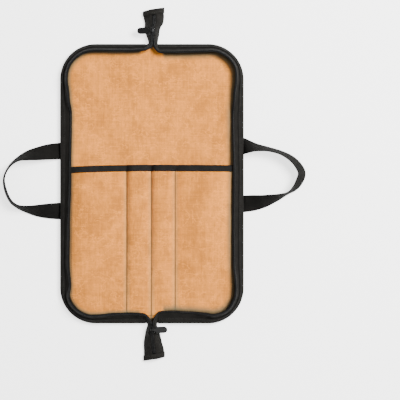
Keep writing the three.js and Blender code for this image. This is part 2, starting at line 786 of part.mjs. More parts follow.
const materials = {
  canvas: new THREE.MeshStandardMaterial({ color: 0xdfad7f, roughness: 0.85, metalness: 0 }),
  pocket: new THREE.MeshStandardMaterial({ color: 0xdcaa7c, roughness: 0.85, metalness: 0 }),
  tape: new THREE.MeshStandardMaterial({ color: 0x242220, roughness: 0.8, metalness: 0 }),
  webbing: new THREE.MeshStandardMaterial({ color: 0x2d2a28, roughness: 0.85, metalness: 0 }),
  coil: new THREE.MeshStandardMaterial({ color: 0x161616, roughness: 0.45, metalness: 0 }),
  metal: new THREE.MeshStandardMaterial({ color: 0x1c1c1c, roughness: 0.4, metalness: 0.6 }),
};

const roll = new THREE.Group();

function piece(name, geometry, material, parent = roll) {
  const mesh = new THREE.Mesh(geometry, material);
  mesh.name = name;
  parent.add(mesh);
  return mesh;
}

piece("outer_panel", bodyLayer(0, canvasThickness), materials.canvas);
piece("lining", bodyLayer(liningSeat, liningThickness), materials.canvas);
piece("pocket_panel", pocketPanel(), materials.pocket);
piece("pocket_binding", pocketBinding(), materials.tape);

for (const [name, layout] of Object.entries(handles)) {
  piece(`edge_binding_${name}`, edgeBinding(layout.side), materials.tape);
  piece(`zip_tape_${name}`, zipTape(layout.side), materials.tape);
  piece(`zip_coil_${name}`, zipCoil(layout.side), materials.coil);
  piece(`handle_${name}`, handle(layout), materials.webbing);
}

for (const [name, tail] of Object.entries(tails)) {
  piece(`zip_coil_tail_${name}`, closedCoil(tail), materials.coil);
  piece(`tail_hem_${name}`, tailHem(tail), materials.tape);
  const seat = tailSection(-1, tail, tail.sliderAt).coil.lerp(tailSection(1, tail, tail.sliderAt).coil, 0.5);
  const mount = new THREE.Group();
  mount.position.copy(seat);
  mount.rotation.z = tail.toward > 0 ? 0 : Math.PI;
  roll.add(mount);
  piece(`slider_${name}`, slider(), materials.metal, mount);
  const hinge = new THREE.Group();
  hinge.position.set(seat.x, seat.y, seat.z + pullAxisLift);
  hinge.rotation.z = tail.pullSide > 0 ? 0 : Math.PI;
  roll.add(hinge);
  piece(`pull_${name}`, pull(), materials.metal, hinge).rotation.y = pullRestAngle;
}

export default roll;
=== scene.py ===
# A knife roll of waxed canvas, laid open: fine cloth, zip, binding, webbing, thread and metal.
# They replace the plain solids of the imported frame.
# Metres. The origin is the middle of the underside, +X the right half, +Y the top zip tail, +Z up.
import math

import bmesh
import bpy
import numpy as np
from bpy.props import FloatProperty, FloatVectorProperty, PointerProperty
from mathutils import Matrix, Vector


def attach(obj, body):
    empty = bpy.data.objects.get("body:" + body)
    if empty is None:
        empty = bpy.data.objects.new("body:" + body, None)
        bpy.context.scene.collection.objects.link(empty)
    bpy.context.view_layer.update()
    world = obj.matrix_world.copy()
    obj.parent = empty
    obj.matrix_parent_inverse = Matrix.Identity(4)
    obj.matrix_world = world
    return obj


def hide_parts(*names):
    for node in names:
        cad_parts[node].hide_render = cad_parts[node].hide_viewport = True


bl_info = {
    "name": "Knife Roll",
    "version": (1, 0, 0),
    "blender": (4, 5, 0),
    "location": "View3D > Sidebar > Knife Roll",
    "description": "Dresses an open knife roll with fine cloth, zip, webbing, thread and metal",
    "category": "Object",
}

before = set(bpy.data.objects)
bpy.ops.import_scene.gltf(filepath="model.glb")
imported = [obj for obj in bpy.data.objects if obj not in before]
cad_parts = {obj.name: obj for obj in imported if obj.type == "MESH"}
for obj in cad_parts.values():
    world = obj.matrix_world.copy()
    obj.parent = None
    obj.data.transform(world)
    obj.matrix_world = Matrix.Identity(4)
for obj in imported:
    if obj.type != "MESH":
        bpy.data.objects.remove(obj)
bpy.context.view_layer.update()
MM = 0.001
UP = np.array((0, 0, 1.0))
VIEW_CENTRE = (71.7 * MM, -24.3 * MM)

# Body
BODY_WIDTH = 274 * MM
BODY_LENGTH = 417 * MM
CORNER_RADIUS = 53 * MM
CANVAS_THICKNESS = 1.4 * MM
LINING_THICKNESS = 1.0 * MM
LAYER_GAP = 0.3 * MM
REST_INSET = 80 * MM
HALF_WIDTH = BODY_WIDTH / 2
HALF_LENGTH = BODY_LENGTH / 2

# Edge binding
BINDING_THICKNESS = 1.0 * MM
BINDING_FLAP = 8 * MM
BINDING_WAVE = 0.25 * MM
PANEL_INSET = 1.8 * MM
RIM_FLAT = 12 * MM
BINDING_SHARE = 0.5  # the upper flap covers the tape up to this share of its width

# Zip
TAPE_WIDTH = 16 * MM
TAPE_THICKNESS = 1.0 * MM
COIL_RADIUS = 1.3 * MM
CLOSED_COIL_HALF_WIDTH = 2.75 * MM
NECK_HALF_WIDTH = 6.3 * MM
NECK_MARGIN = 3 * MM
NECK_RIDGE = 15 * MM
NECK_BACK = 3.5 * MM
LOWEST_RISE = 4.3 * MM
HIGHEST_RISE = 12.5 * MM
BEND_SHARE = 0.55
BODY_BEND_RISE = 0.15
TAIL_BEND_RISE = 0.32
SLANT_FROM = 0.4
SLANT_TO = 0.8
HEM_LENGTH = 7 * MM
TOOTH_PITCH = 1.35 * MM
FILAMENT_RADIUS = 0.31 * MM
LIP_START = 1.2 * MM  # the tape dips under the coil from this far short of its own end
LIP_DROP = 1.7 * MM
COIL_HALF_HEIGHT = 0.85 * COIL_RADIUS - FILAMENT_RADIUS
CLOSED_REACH = 0.56  # in the closed coil each spiral reaches this share of the whole half width
ROUND_STEP = 1.5 * MM  # spacing of the zip's sections
ROUND_EASING = 5  # times that they are smoothed
EDGE_STEP = 4 * MM  # spacing of the places from which the distance to the tape's edge is measured

# Pockets
POCKET_THICKNESS = 1.0 * MM
POCKET_SIDE_INSET = 13.5 * MM
POCKET_BOTTOM_INSET = 12.5 * MM
POCKET_CORNER_RADIUS = 38 * MM
MOUTH_HEIGHT = 28.2 * MM
MOUTH_DROP_LEFT = 3.9 * MM
MOUTH_DROP_RIGHT = 1.0 * MM
MOUTH_PUFF = 7 * MM
MOUTH_BINDING = 9.5 * MM
MOUTH_WEAVE = 16 * MM  # width over which the mouth's tape counts its weave
DIVIDERS = (-37.5 * MM, -0.75 * MM, 34.8 * MM)
POCKET_DEPTH = MOUTH_HEIGHT + HALF_LENGTH - POCKET_BOTTOM_INSET
CANVAS_STEP = 2.1 * MM  # spacing of the points of the two large sheets

# Wrinkles: heights of the swells and the folds
LINING_SWELL = 0.9 * MM
LINING_FOLD = 0.5 * MM
POCKET_SWELL = 0.8 * MM
POCKET_FOLD = 0.6 * MM
LONG_FOLD = 1.1 * MM
CREASE_SHARE = 0.1  # a crease falls off within this share of the relief's height

# Handles
WEBBING_WIDTH = 25 * MM
WEBBING_THICKNESS = 1.6 * MM
HANDLE_BASE = 43 * MM
HANDLE_REACH = 87 * MM
HANDLE_SECTIONS = 150
BASE_MARGIN = 3 * MM  # the canvas stays lifted this far past the handles' sewn ends

# Thread: width of a stitch, and for each kind of row the distance between stitches and their length
STITCH_WIDTH = 0.6 * MM
BINDING_STITCH = (3.4 * MM, 2.7 * MM)
POCKET_STITCH = (3.2 * MM, 2.5 * MM)
MOUTH_STITCH = (3.0 * MM, 2.4 * MM)
HEM_STITCH = (2.8 * MM, 2.2 * MM)
HANDLE_STITCH = (3.0 * MM, 2.3 * MM)

# Where the rows run: shares of the width or length of their tape or cloth, and distances from an edge
BINDING_ROW = 0.36
UNDER_ROW_INSET = 1.8 * MM
POCKET_SIDE_ROW = 0.045
MOUTH_ROW_INSET = 1.6 * MM
HEM_ROW = 0.66
HANDLE_ROW_INSET = 3 * MM

# Sliders and pulls
SLIDER_LENGTH = 12 * MM
SLIDER_MARGIN = 1.5 * MM
SLIDER_FADE = 2 * MM  # length over which the tape draws in to the slider
MERGE_DISTANCE = 0.005 * MM
FLAT_ANGLE = math.radians(2)
EDGE_BEVEL = 0.22 * MM
EDGE_ANGLE = math.radians(32)

# Heights of the layers at the rim
BASE_LIFT = WEBBING_THICKNESS + LAYER_GAP
RIM_LIFT = BASE_LIFT + BINDING_THICKNESS + LAYER_GAP
LINING_SEAT = CANVAS_THICKNESS + LAYER_GAP
POCKET_SEAT = LINING_SEAT + LINING_THICKNESS
TAPE_SEAT = RIM_LIFT + POCKET_SEAT + LAYER_GAP + TAPE_THICKNESS / 2
SLIDER_CLEAR = SLIDER_LENGTH / 2 + SLIDER_MARGIN
TAPE_COVER = TAPE_THICKNESS / 2 + LAYER_GAP  # from the zip tape's middle to what lies on it

# How far in the coil's edge lies, as shares of the tape's width, at places that are shares of the way
# round each half from the top.
COIL_PLACES = (0, 0.02, 0.05, 0.12, 0.16, 0.22, 0.26, 0.3, 0.34, 0.48, 0.6, 0.68, 0.735, 0.78, 0.81,
               0.85, 0.88, 0.91, 0.95, 0.985, 1)
COIL_LEFT = (0.58, 0.68, 0.74, 0.72, 0.7, 0.68, 0.72, 0.88, 1.08, 1.01, 0.9, 0.86, 1, 0.72, 0.74,
             0.78, 0.84, 0.96, 1, 0.95, 0.8)
COIL_RIGHT = (0.75, 0.86, 0.86, 0.8, 0.68, 0.62, 0.76, 0.94, 1.08, 0.95, 1.02, 0.98, 0.8, 0.74, 0.66,
              0.82, 1, 1.1, 1.18, 1.14, 0.92)

# Each zip tail from its neck at the body's edge: out is a share of its length, centre and half are
# shares of the tape's width, ridge a share of the neck's ridge, and foot how far its edges are still
# held up from the table.
TAILS = {
    "top": {
        "toward": 1,
        "length": 52 * MM,
        "slider_at": 18.5 * MM,
        "slant": 0.19,
        "out": (0, 0.35, 0.6, 0.75, 1),
        "centre": (0.12, 0.05, 0.22, 0.2, -0.02),
        "half": (0.4, 0.64, 0.85, 0.93, 0.97),
        "ridge": (1, 0.97, 0.66, 0.42, 0.24),
        "foot": (1, 0.6, 0.25, 0.08, 0),
    },
    "bottom": {
        "toward": -1,
        "length": 53.5 * MM,
        "slider_at": 8.5 * MM,
        "slant": 0.18,
        "out": (0, 0.27, 0.52, 0.75, 1),
        "centre": (0.02, 0.06, 0.08, 0.18, 0.28),
        "half": (0.4, 0.66, 0.83, 0.91, 1),
        "ridge": (1, 0.93, 0.66, 0.4, 0.24),
        "foot": (1, 0.6, 0.25, 0.08, 0),
    },
}

# Each handle from its upper root to its lower one: out is a share of its reach, up a share of half the
# distance between its roots, and flat the share of its width that shows from above.
HANDLES = {
    "left": {
        "side": -1,
        "middle": 4 * MM,
        "half_spread": 44.8 * MM,
        "out": (0, 0.19, 0.38, 0.54, 0.71, 0.86, 0.95, 0.925, 0.84, 0.71, 0.54, 0.38, 0.19, 0),
        "up": (1, 0.97, 0.91, 0.85, 0.73, 0.48, 0.1, -0.3, -0.66, -0.86, -0.95, -0.99, -1, -1),
        "flat": (1, 0.94, 0.8, 0.62, 0.32, 0.2, 0.2, 0.25, 0.25, 0.26, 0.47, 0.71, 0.9, 1),
    },
    "right": {
        "side": 1,
        "middle": 13 * MM,
        "half_spread": 43 * MM,
        "out": (0, 0.1, 0.22, 0.42, 0.63, 0.81, 0.93, 0.99, 0.94, 0.86, 0.75, 0.6, 0.44, 0.3, 0.16, 0),
        "up": (1, 0.98, 0.95, 0.89, 0.77, 0.57, 0.32, 0.05, -0.25, -0.47, -0.63, -0.76, -0.86, -0.93,
               -0.97, -1),
        "flat": (1, 0.74, 0.48, 0.3, 0.28, 0.38, 0.46, 0.5, 0.46, 0.32, 0.15, 0.36, 0.62, 0.8, 0.94, 1),
    },
}

# Finishes
WEAVE_PITCH = 0.62 * MM
TAPE_RIB = 0.9 * MM
WEBBING_BAND = 6.2 * MM
WEBBING_CHEVRON = 1.7 * MM
WEBBING_CORD = 1.1 * MM
THREAD_PLY = 0.5 * MM
# Painted shade: the grey-brown painted on the canvas beside the zip tape, where the tape's shade falls.
TAPE_SHADE_GREY = (0.108, 0.106, 0.064, 1.0)  # on the canvas beside the zip tape
FLOOR_GLOW = 2.2

# From where to where each painted shade on the canvas fades, counted from the zip tape or from a seam.
TAPE_SHADE_FADE = (2.6 * MM, 9 * MM)
TAPE_SHADOW_FADE = (1 * MM, 4.4 * MM)
SEAM_SHADE_FADE = (1.5 * MM, 7 * MM)
SEAM_GROOVE_SHADE_FADE = (0.3 * MM, 1.5 * MM)
# The painted shadow beside the zip tape is wider on the right, the side from which the key light comes.
TAPE_SHADOW_SHARE_RIGHT = 0.6  # on the right, distances in from the zip tape count as this share

# The notch at each neck gets no painted shade: its fades across and along, and what it adds to the distance
# in.
NOTCH_SIDE = (9 * MM, 20 * MM)
NOTCH_START = (0.86 * HALF_LENGTH, 0.9 * HALF_LENGTH)
NOTCH_LIFT = 12 * MM

# Stage: each light's place, size and power.
FLOOR_HALF = 6.0
FLOOR_DROP = 0.3 * MM
WORLD_COLOUR = (1.0, 0.995, 0.985, 1.0)
WORLD_STRENGTH = 0.45
SENSOR_WIDTH = 36.0  # millimetres, as the lens
CLIP_END = 50.0
LIGHTS = {
    "key": ((1.1, 0.66, 1.78), 0.9, 134.0),
    "fill": ((-1.2, 0.3, 1.6), 1.6, 6.0),
    "front": ((0.2, -1.5, 1.4), 1.6, 5.0),
}

# How full a pocket stands at a share of the way down from its mouth.
PUFF_DOWN = (0, 0.045, 0.12, 0.3, 0.5, 0.66, 0.81, 0.92, 1)
PUFF = (1, 1, 0.97, 0.9, 0.78, 0.6, 0.38, 0.14, 0)


# Arrays


def eased(at, keys, values):
    """Value at a key, from row to row by a smooth step: three times the square less twice the cube."""
    keys = np.asarray(keys, float)
    values = np.asarray(values, float)
    at = np.asarray(at, float)
    high = np.clip(np.searchsorted(keys, at, side="right"), 1, len(keys) - 1)
    share = np.clip((at - keys[high - 1]) / (keys[high] - keys[high - 1]), 0, 1)
    share = share * share * (3 - 2 * share)
    return values[high - 1] + (values[high] - values[high - 1]) * share


def smooth_step(at, low, high):
    """Nought below low, one above high and a smooth step between."""
    share = np.clip((at - low) / (high - low), 0, 1)
    return share * share * (3 - 2 * share)


def unit(vectors):
    """Vectors divided by their length."""
    return vectors / np.maximum(np.linalg.norm(vectors, axis=-1, keepdims=True), 1e-12)


def joined(*parts):
    """Coordinates of equal or broadcast shape as one array of points."""
    return np.stack(np.broadcast_arrays(*parts), axis=-1).astype(float)


def lengths(path):
    """Length of a line up to each of its points."""
    return np.concatenate(([0], np.cumsum(np.linalg.norm(np.diff(path, axis=0), axis=1))))


def line_at(at, run, path):
    """Points of a line at given lengths, where run is its length up to each of its own points."""
    return np.stack([np.interp(at, run, path[:, i]) for i in range(3)], axis=-1)


def spaced_line(path, step):
    """A line's points at even steps of its length."""
    run = lengths(path)
    return line_at(np.linspace(0, run[-1], max(int(run[-1] / step), 2)), run, path)


def ripple(x, y, seed, length, count=9):
    """Soft random relief between about -1 and 1: a sum of sine waves of near lengths in seeded directions."""
    rng = np.random.default_rng(seed)
    turn = rng.uniform(0, 2 * math.pi, count)
    wave = 2 * math.pi / (length * rng.uniform(0.7, 1.5, count))
    phase = rng.uniform(0, 2 * math.pi, count)
    total = 0
    for i in range(count):
        total = total + np.sin(wave[i] * (x * math.cos(turn[i]) + y * math.sin(turn[i])) + phase[i])
    return total / math.sqrt(2 * count)


# Places on the roll


def edge_at(side, place):
    """Points of a half's edge and their inward directions, at shares of the way round from the top middle.

    The edge is a straight, a quarter circle, a straight, a quarter circle and a straight, measured by length.
    """
    straight = HALF_WIDTH - CORNER_RADIUS
    arc = CORNER_RADIUS * math.pi / 2
    long = BODY_LENGTH - 2 * CORNER_RADIUS
    total = 2 * (straight + arc) + long
    s = np.asarray(place, float) * total
    top = np.clip((s - straight) / CORNER_RADIUS, 0, math.pi / 2)
    low = np.clip((total - straight - s) / CORNER_RADIUS, 0, math.pi / 2)
    upper = s <= total / 2
    turn = np.where(upper, top, low)
    along = np.where(upper, np.minimum(s, straight), np.minimum(total - s, straight))
    run = np.clip(s - straight - arc, 0, long)
    sign = np.where(upper, 1.0, -1.0)
    x = along + CORNER_RADIUS * np.sin(turn)
    y = np.where(turn < math.pi / 2, sign * (HALF_LENGTH - CORNER_RADIUS + CORNER_RADIUS * np.cos(turn)),
                 HALF_LENGTH - CORNER_RADIUS - run)
    point = joined(side * x, y, 0)
    inward = joined(-side * np.sin(turn), -sign * np.cos(turn), 0)
    return point, inward


def round_length():
    """Length of a half's edge from the top middle to the bottom middle."""
    return 2 * (HALF_WIDTH - CORNER_RADIUS) + CORNER_RADIUS * math.pi + BODY_LENGTH - 2 * CORNER_RADIUS


def inset_at(x, y):
    """Distance of a place in from the edge of the rounded rectangle."""
    corner_x = np.abs(x) - (HALF_WIDTH - CORNER_RADIUS)
    corner_y = np.abs(y) - (HALF_LENGTH - CORNER_RADIUS)
    outside = np.hypot(np.maximum(corner_x, 0), np.maximum(corner_y, 0))
    return CORNER_RADIUS - (outside + np.minimum(np.maximum(corner_x, corner_y), 0))


def lift_at(inset):
    """Height that the layers gain towards the rim, straight between four insets."""
    return np.interp(inset, (RIM_FLAT, HANDLE_BASE + BASE_MARGIN, REST_INSET), (RIM_LIFT, BASE_LIFT, 0))


def tape_section(foot, bend, coil, room):
    """The tape's end lies short of the coil by the coil's own room and a gap, on the way to the bend."""
    toward = unit(bend - coil)
    return {"foot": foot, "bend": bend, "coil": coil, "end": coil + toward * room}


def body_section(side, place):
    """Foot, bend and coil of the tape over the body, the coil as high as the reach leaves of the width."""
    reach = TAPE_WIDTH * eased(place, COIL_PLACES, COIL_LEFT if side < 0 else COIL_RIGHT)
    run = np.minimum(reach - PANEL_INSET, TAPE_WIDTH)
    rise = np.clip(np.sqrt(TAPE_WIDTH**2 - run**2), LOWEST_RISE, HIGHEST_RISE)
    edge, inward = edge_at(side, place)
    foot = edge + inward * PANEL_INSET + UP * TAPE_SEAT
    coil = edge + inward * (reach - COIL_RADIUS)[..., None] + UP * (TAPE_SEAT + rise)[..., None]
    bend = foot + (coil - foot) * BEND_SHARE
    bend[..., 2] = TAPE_SEAT + BODY_BEND_RISE * rise
    return tape_section(foot, bend, coil, COIL_RADIUS)


def tape_end(tail):
    """The tape stops inside the hem's fold."""
    return tail["length"] - BINDING_THICKNESS - 2 * LAYER_GAP


def hem_start(tail):
    """Distance out at which the hem's flaps begin."""
    return tape_end(tail) - HEM_LENGTH - 2 * LAYER_GAP


def tail_section(side, tail, out):
    """Foot, bend and coil of the tape in a tail, eased from row to row and straight where the slider sits."""
    out = np.asarray(out, float)
    level = np.where(np.abs(out - tail["slider_at"]) < SLIDER_CLEAR, tail["slider_at"], out)
    held = np.minimum(out, hem_start(tail)) / tail["length"]
    middle = np.minimum(level / tail["length"], held)
    centre = TAPE_WIDTH * eased(middle, tail["out"], tail["centre"])
    ridge = TAPE_SEAT + (NECK_RIDGE - TAPE_SEAT) * eased(middle, tail["out"], tail["ridge"])
    lowest = TAPE_THICKNESS / 2 + 2 * LAYER_GAP + BINDING_THICKNESS
    foot_height = lowest + (TAPE_SEAT - lowest) * eased(held, tail["out"], tail["foot"])
    reach = TAPE_WIDTH * eased(held, tail["out"], tail["half"])
    y = tail["toward"] * (HALF_LENGTH + out)
    lean = tail["slant"] * smooth_step(held, SLANT_FROM, SLANT_TO)
    foot = joined(centre + side * reach, y + lean * side * reach, foot_height)
    coil = joined(centre + side * (COIL_RADIUS + LAYER_GAP / 2), y, ridge)
    coil[..., 1] -= np.where(out <= 0, tail["toward"] * NECK_BACK, 0)
    bend = foot + (coil - foot) * BEND_SHARE
    bend[..., 2] += TAIL_BEND_RISE * (ridge - foot_height)
    near = 1 - smooth_step(np.abs(out - tail["slider_at"]), SLIDER_CLEAR, SLIDER_CLEAR + SLIDER_FADE)
    room = COIL_RADIUS + (CLOSED_COIL_HALF_WIDTH - LAYER_GAP / 2 - COIL_RADIUS) * near
    return tape_section(foot, bend, coil, room[..., None])


def joined_sections(parts):
    """Sections of several stretches laid end to end."""
    return {key: np.concatenate([part[key] for part in parts]) for key in parts[0]}


def smoothed(points, times):
    """Points eased along their first axis: each inner one moves half way to the mean of its neighbours."""
    points = points.copy()
    for _ in range(times):
        points[1:-1] += 0.5 * ((points[:-2] + points[2:]) / 2 - points[1:-1])
    return points


def body_places(step=ROUND_STEP):
    """Even places round a half from neck to neck."""
    margin = (NECK_HALF_WIDTH + NECK_MARGIN) / round_length()
    return np.linspace(margin, 1 - margin, int(round_length() / step))


def zip_sections(side):
    """Sections of a zip half from the top tail's end round the body to the bottom tail's end.

    They are spaced evenly by the mean length of foot and coil, and eased where the tape turns up into
    each neck.
    """
    outs = {
        key: np.linspace(0, tape_end(tail), int(tail["length"] / ROUND_STEP)) for key, tail in TAILS.items()
    }
    top = tail_section(side, TAILS["top"], outs["top"][::-1])
    bottom = tail_section(side, TAILS["bottom"], outs["bottom"])
    sections = joined_sections((top, body_section(side, body_places()), bottom))
    steps = [np.linalg.norm(np.diff(sections[key], axis=0), axis=1) for key in ("foot", "coil")]
    run = np.concatenate(([0], np.cumsum((steps[0] + steps[1]) / 2)))
    even = np.linspace(0, run[-1], int(run[-1] / ROUND_STEP))
    return {key: smoothed(line_at(even, run, points), ROUND_EASING) for key, points in sections.items()}


def tape_point(section, across, lift):
    """Points across a tape section on the quadratic curve foot, bend, end, lifted square to the curve.

    The first axis of the result runs along the sections and the second over the shares across.
    """
    t = np.asarray(across, float)[None, :, None]
    foot, bend, end = (section[key][:, None, :] for key in ("foot", "bend", "end"))
    point = (1 - t) ** 2 * foot + 2 * t * (1 - t) * bend + t**2 * end
    tangent = unit(2 * (1 - t) * (bend - foot) + 2 * t * (end - bend))
    up = UP - tangent * tangent[..., 2:3]
    lift = np.asarray(lift, float)
    return point + unit(up) * (lift[..., None] if lift.ndim else lift)


def handle_path(handle):
    """Middle line of a handle's webbing and its flat share, on a smooth curve through the rows.

    The curve is the piecewise cubic whose slope at each row is half the step between that row's neighbours.
    """
    rows = joined(*(np.array(handle[column], float) for column in ("out", "up", "flat")))
    ends = np.concatenate((2 * rows[:1] - rows[1:2], rows, 2 * rows[-1:] - rows[-2:-1]))
    key = np.linspace(0, len(rows) - 1, 12 * HANDLE_SECTIONS)
    low = np.minimum(key.astype(int), len(rows) - 2)
    t = (key - low)[:, None]
    a, b, c, d = (ends[low + i] for i in range(4))
    curve = b + 0.5 * t * (c - a + t * (2 * a - 5 * b + 4 * c - d + t * (3 * (b - c) + d - a)))
    x = handle["side"] * (HALF_WIDTH + curve[:, 0] * HANDLE_REACH)
    y = handle["middle"] + curve[:, 1] * handle["half_spread"]
    flat = np.clip(curve[:, 2], 0.02, 1)
    base = handle["side"] * np.linspace(HALF_WIDTH - HANDLE_BASE, HALF_WIDTH, 60)[:-1]
    x = np.concatenate((base, x, base[::-1]))
    y = np.concatenate((np.full(len(base), y[0]), y, np.full(len(base), y[-1])))
    flat = np.concatenate((np.ones(len(base)), flat, np.ones(len(base))))
    length = np.concatenate(([0], np.cumsum(np.hypot(np.diff(x), np.diff(y)))))
    even = np.linspace(0, length[-1], HANDLE_SECTIONS)
    return [np.interp(even, length, column) for column in (x, y, flat)]


# Meshes


def add_mesh(name, points, faces, coords=None):
    """Smooth object from points and faces, with its own surface coordinates as the attribute "weave"."""
    mesh = bpy.data.meshes.new(name)
    mesh.from_pydata(np.asarray(points, float).tolist(), [], np.asarray(faces).tolist())
    if coords is not None:
        layer = mesh.attributes.new("weave", "FLOAT_VECTOR", "POINT")
        layer.data.foreach_set("vector", np.asarray(coords, np.float32).ravel())
    mesh.polygons.foreach_set("use_smooth", np.full(len(mesh.polygons), True))
    mesh.validate()
    mesh.update()
    obj = bpy.data.objects.new(name, mesh)
    bpy.context.scene.collection.objects.link(obj)
    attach(obj, "roll")
    return obj


def grid_faces(rows, columns, close_columns=False, start=0):
    """Quads between neighbouring points of a grid, numbered row by row."""
    r = np.arange(rows - 1)[:, None]
    c = np.arange(columns if close_columns else columns - 1)[None, :]

    def index(row, column):
        return start + row * columns + column % columns

    corners = (index(r, c), index(r, c + 1), index(r + 1, c + 1), index(r + 1, c))
    return np.stack(corners, axis=-1).reshape(-1, 4)


def closed_wall(top, bottom):
    """Points and quads of a wall between two grids of the same size, with its four rims closed."""
    rows, columns = top.shape[:2]
    count = rows * columns
    upper = grid_faces(rows, columns)
    lower = grid_faces(rows, columns, start=count)[:, ::-1]
    index = np.arange(count).reshape(rows, columns)
    rim = np.concatenate((index[0, :-1], index[:-1, -1], index[-1, :0:-1], index[:0:-1, 0]))
    ahead = np.roll(rim, -1)
    sides = np.stack((rim, rim + count, ahead + count, ahead), axis=-1)
    points = np.concatenate((top.reshape(-1, 3), bottom.reshape(-1, 3)))
    faces = np.concatenate((upper, lower, sides))
    middle = top[rows // 2, columns // 2] - bottom[rows // 2, columns // 2]
    first = top[rows // 2 + 1, columns // 2] - top[rows // 2, columns // 2]
    second = top[rows // 2, columns // 2 + 1] - top[rows // 2, columns // 2]
    if np.dot(np.cross(second, first), middle) < 0:
        faces = faces[:, ::-1]
    return points, faces


def cloth_wall(name, top, bottom, coords):
    """A piece of cloth between two grids, whose two faces have the same coordinates of their own."""
    points, faces = closed_wall(top, bottom)
    return add_mesh(name, points, faces, np.tile(coords.reshape(-1, 3), (2, 1)))


def capped(rings, sides):
    """Quads of a closed body of rings, each end fanned from its first point; sides is even."""
    wall = grid_faces(rings, sides, close_columns=True)
    fan = np.array([(0, k, k + 1, k + 2) for k in range(1, sides - 2, 2)])
    return np.concatenate((wall, fan[:, ::-1], fan + (rings - 1) * sides))


def tube(path, across, high, half_across, half_high, sides=6):
    """Points and faces of a closed body: round each path point, an ellipse in two given directions."""
    turn = np.linspace(0, 2 * math.pi, sides, endpoint=False)
    ring = path[:, None, :] + half_across * np.cos(turn)[None, :, None] * across[:, None, :]
    ring = ring + half_high * np.sin(turn)[None, :, None] * high[:, None, :]
    return ring.reshape(-1, 3), capped(len(path), sides)


def path_frames(path):
    """Unit directions across a path and up from it."""
    along = unit(np.gradient(path, axis=0))
    across = unit(np.cross(along, UP))
    return across, unit(np.cross(across, along))


def many(points, faces, places, along, across, up):
    """One mesh of a small shape repeated: its x, y and z are laid along three directions at each place."""
    points = np.asarray(points, float)
    laid = (
        places[:, None, :]
        + points[None, :, 0:1] * along[:, None, :]
        + points[None, :, 1:2] * across[:, None, :]
        + points[None, :, 2:3] * up[:, None, :]
    )
    count = len(points)
    shifted = [np.asarray(faces)[None] + (np.arange(len(places)) * count)[:, None, None]]
    return laid.reshape(-1, 3), np.concatenate(shifted).reshape(-1, np.asarray(faces).shape[1])


def stitch_shape(length, width, height):
    """A thread stitch: rings of six points, as wide as a half circle and as high as a low bow."""
    share = np.array((-1, -0.75, 0, 0.75, 1))
    size = np.sqrt(np.clip(1 - share**2, 0.12, 1))
    turn = np.linspace(0, 2 * math.pi, 6, endpoint=False)
    x = np.repeat(share[:, None] * length / 2, 6, axis=1)
    y = size[:, None] * np.cos(turn) * width / 2
    z = size[:, None] * np.sin(turn) * height / 2 + (1 - share[:, None] ** 4) * height * 0.3
    return joined(x, y, z).reshape(-1, 3), capped(5, 6)


def stitch_row(path, up, stitch):
    """Stitches spaced evenly by length along a path: points and faces."""
    pitch, length = stitch
    run = lengths(path)
    count = max(int(run[-1] / pitch), 2)
    at = (np.arange(count) + 0.5) * run[-1] / count
    rise = line_at(at, run, np.broadcast_to(up, path.shape))
    along = unit(line_at(at + 0.2 * MM, run, path) - line_at(at - 0.2 * MM, run, path))
    across = unit(np.cross(rise, along))
    shape, faces = stitch_shape(length, STITCH_WIDTH, 0.7 * STITCH_WIDTH)
    return many(shape, faces, line_at(at, run, path), along, across, unit(np.cross(along, across)))


def gathered(parts):
    """Points and faces of several parts as one."""
    points = np.concatenate([part[0] for part in parts])
    offsets = np.cumsum([0] + [len(part[0]) for part in parts[:-1]])
    faces = np.concatenate([np.asarray(part[1]) + offset for part, offset in zip(parts, offsets)])
    return points, faces


# Cloth


def body_grid():
    """Grid over the canvas's rounded rectangle: each row as wide as the outline, by the corner's circle."""
    radius = CORNER_RADIUS - PANEL_INSET
    straight = HALF_LENGTH - CORNER_RADIUS
    turn = np.linspace(0, math.pi / 2, int(1.6 * radius / CANVAS_STEP))
    middle = np.linspace(-straight, straight, int(2 * straight / CANVAS_STEP))[1:-1]
    corner = straight + radius * np.sin(turn)
    y = np.concatenate((-corner[::-1], middle, corner))
    half_corner = HALF_WIDTH - PANEL_INSET - radius * (1 - np.cos(turn))
    half = np.concatenate((half_corner[::-1], np.full(len(middle), HALF_WIDTH - PANEL_INSET), half_corner))
    share = np.linspace(-1, 1, int(BODY_WIDTH / CANVAS_STEP))
    return share[None, :] * half[:, None], np.repeat(y[:, None], len(share), axis=1)


def creases(x, y, seed, length):
    """Thin folds: one where a soft random relief passes through nought."""
    return np.exp(-((ripple(x, y, seed, length) / CREASE_SHARE) ** 2))


def lining_relief(x, y, fullness):
    """How far the free lining stands proud above the pockets: broad swells and thin folds."""
    inset = inset_at(x, y)
    above = smooth_step(y, MOUTH_HEIGHT + 2 * MM, MOUTH_HEIGHT + 20 * MM)
    free = above * smooth_step(inset, 14 * MM, 32 * MM)
    swell = 0.5 + 0.5 * ripple(x, 0.7 * y, 3, 55 * MM)
    fold = creases(0.6 * x, y, 5, 60 * MM) * (0.5 + 0.5 * ripple(x, y, 6, 70 * MM))
    return fullness * free * (LINING_SWELL * np.clip(swell, 0, 1.4) + LINING_FOLD * np.clip(fold, 0, 1))


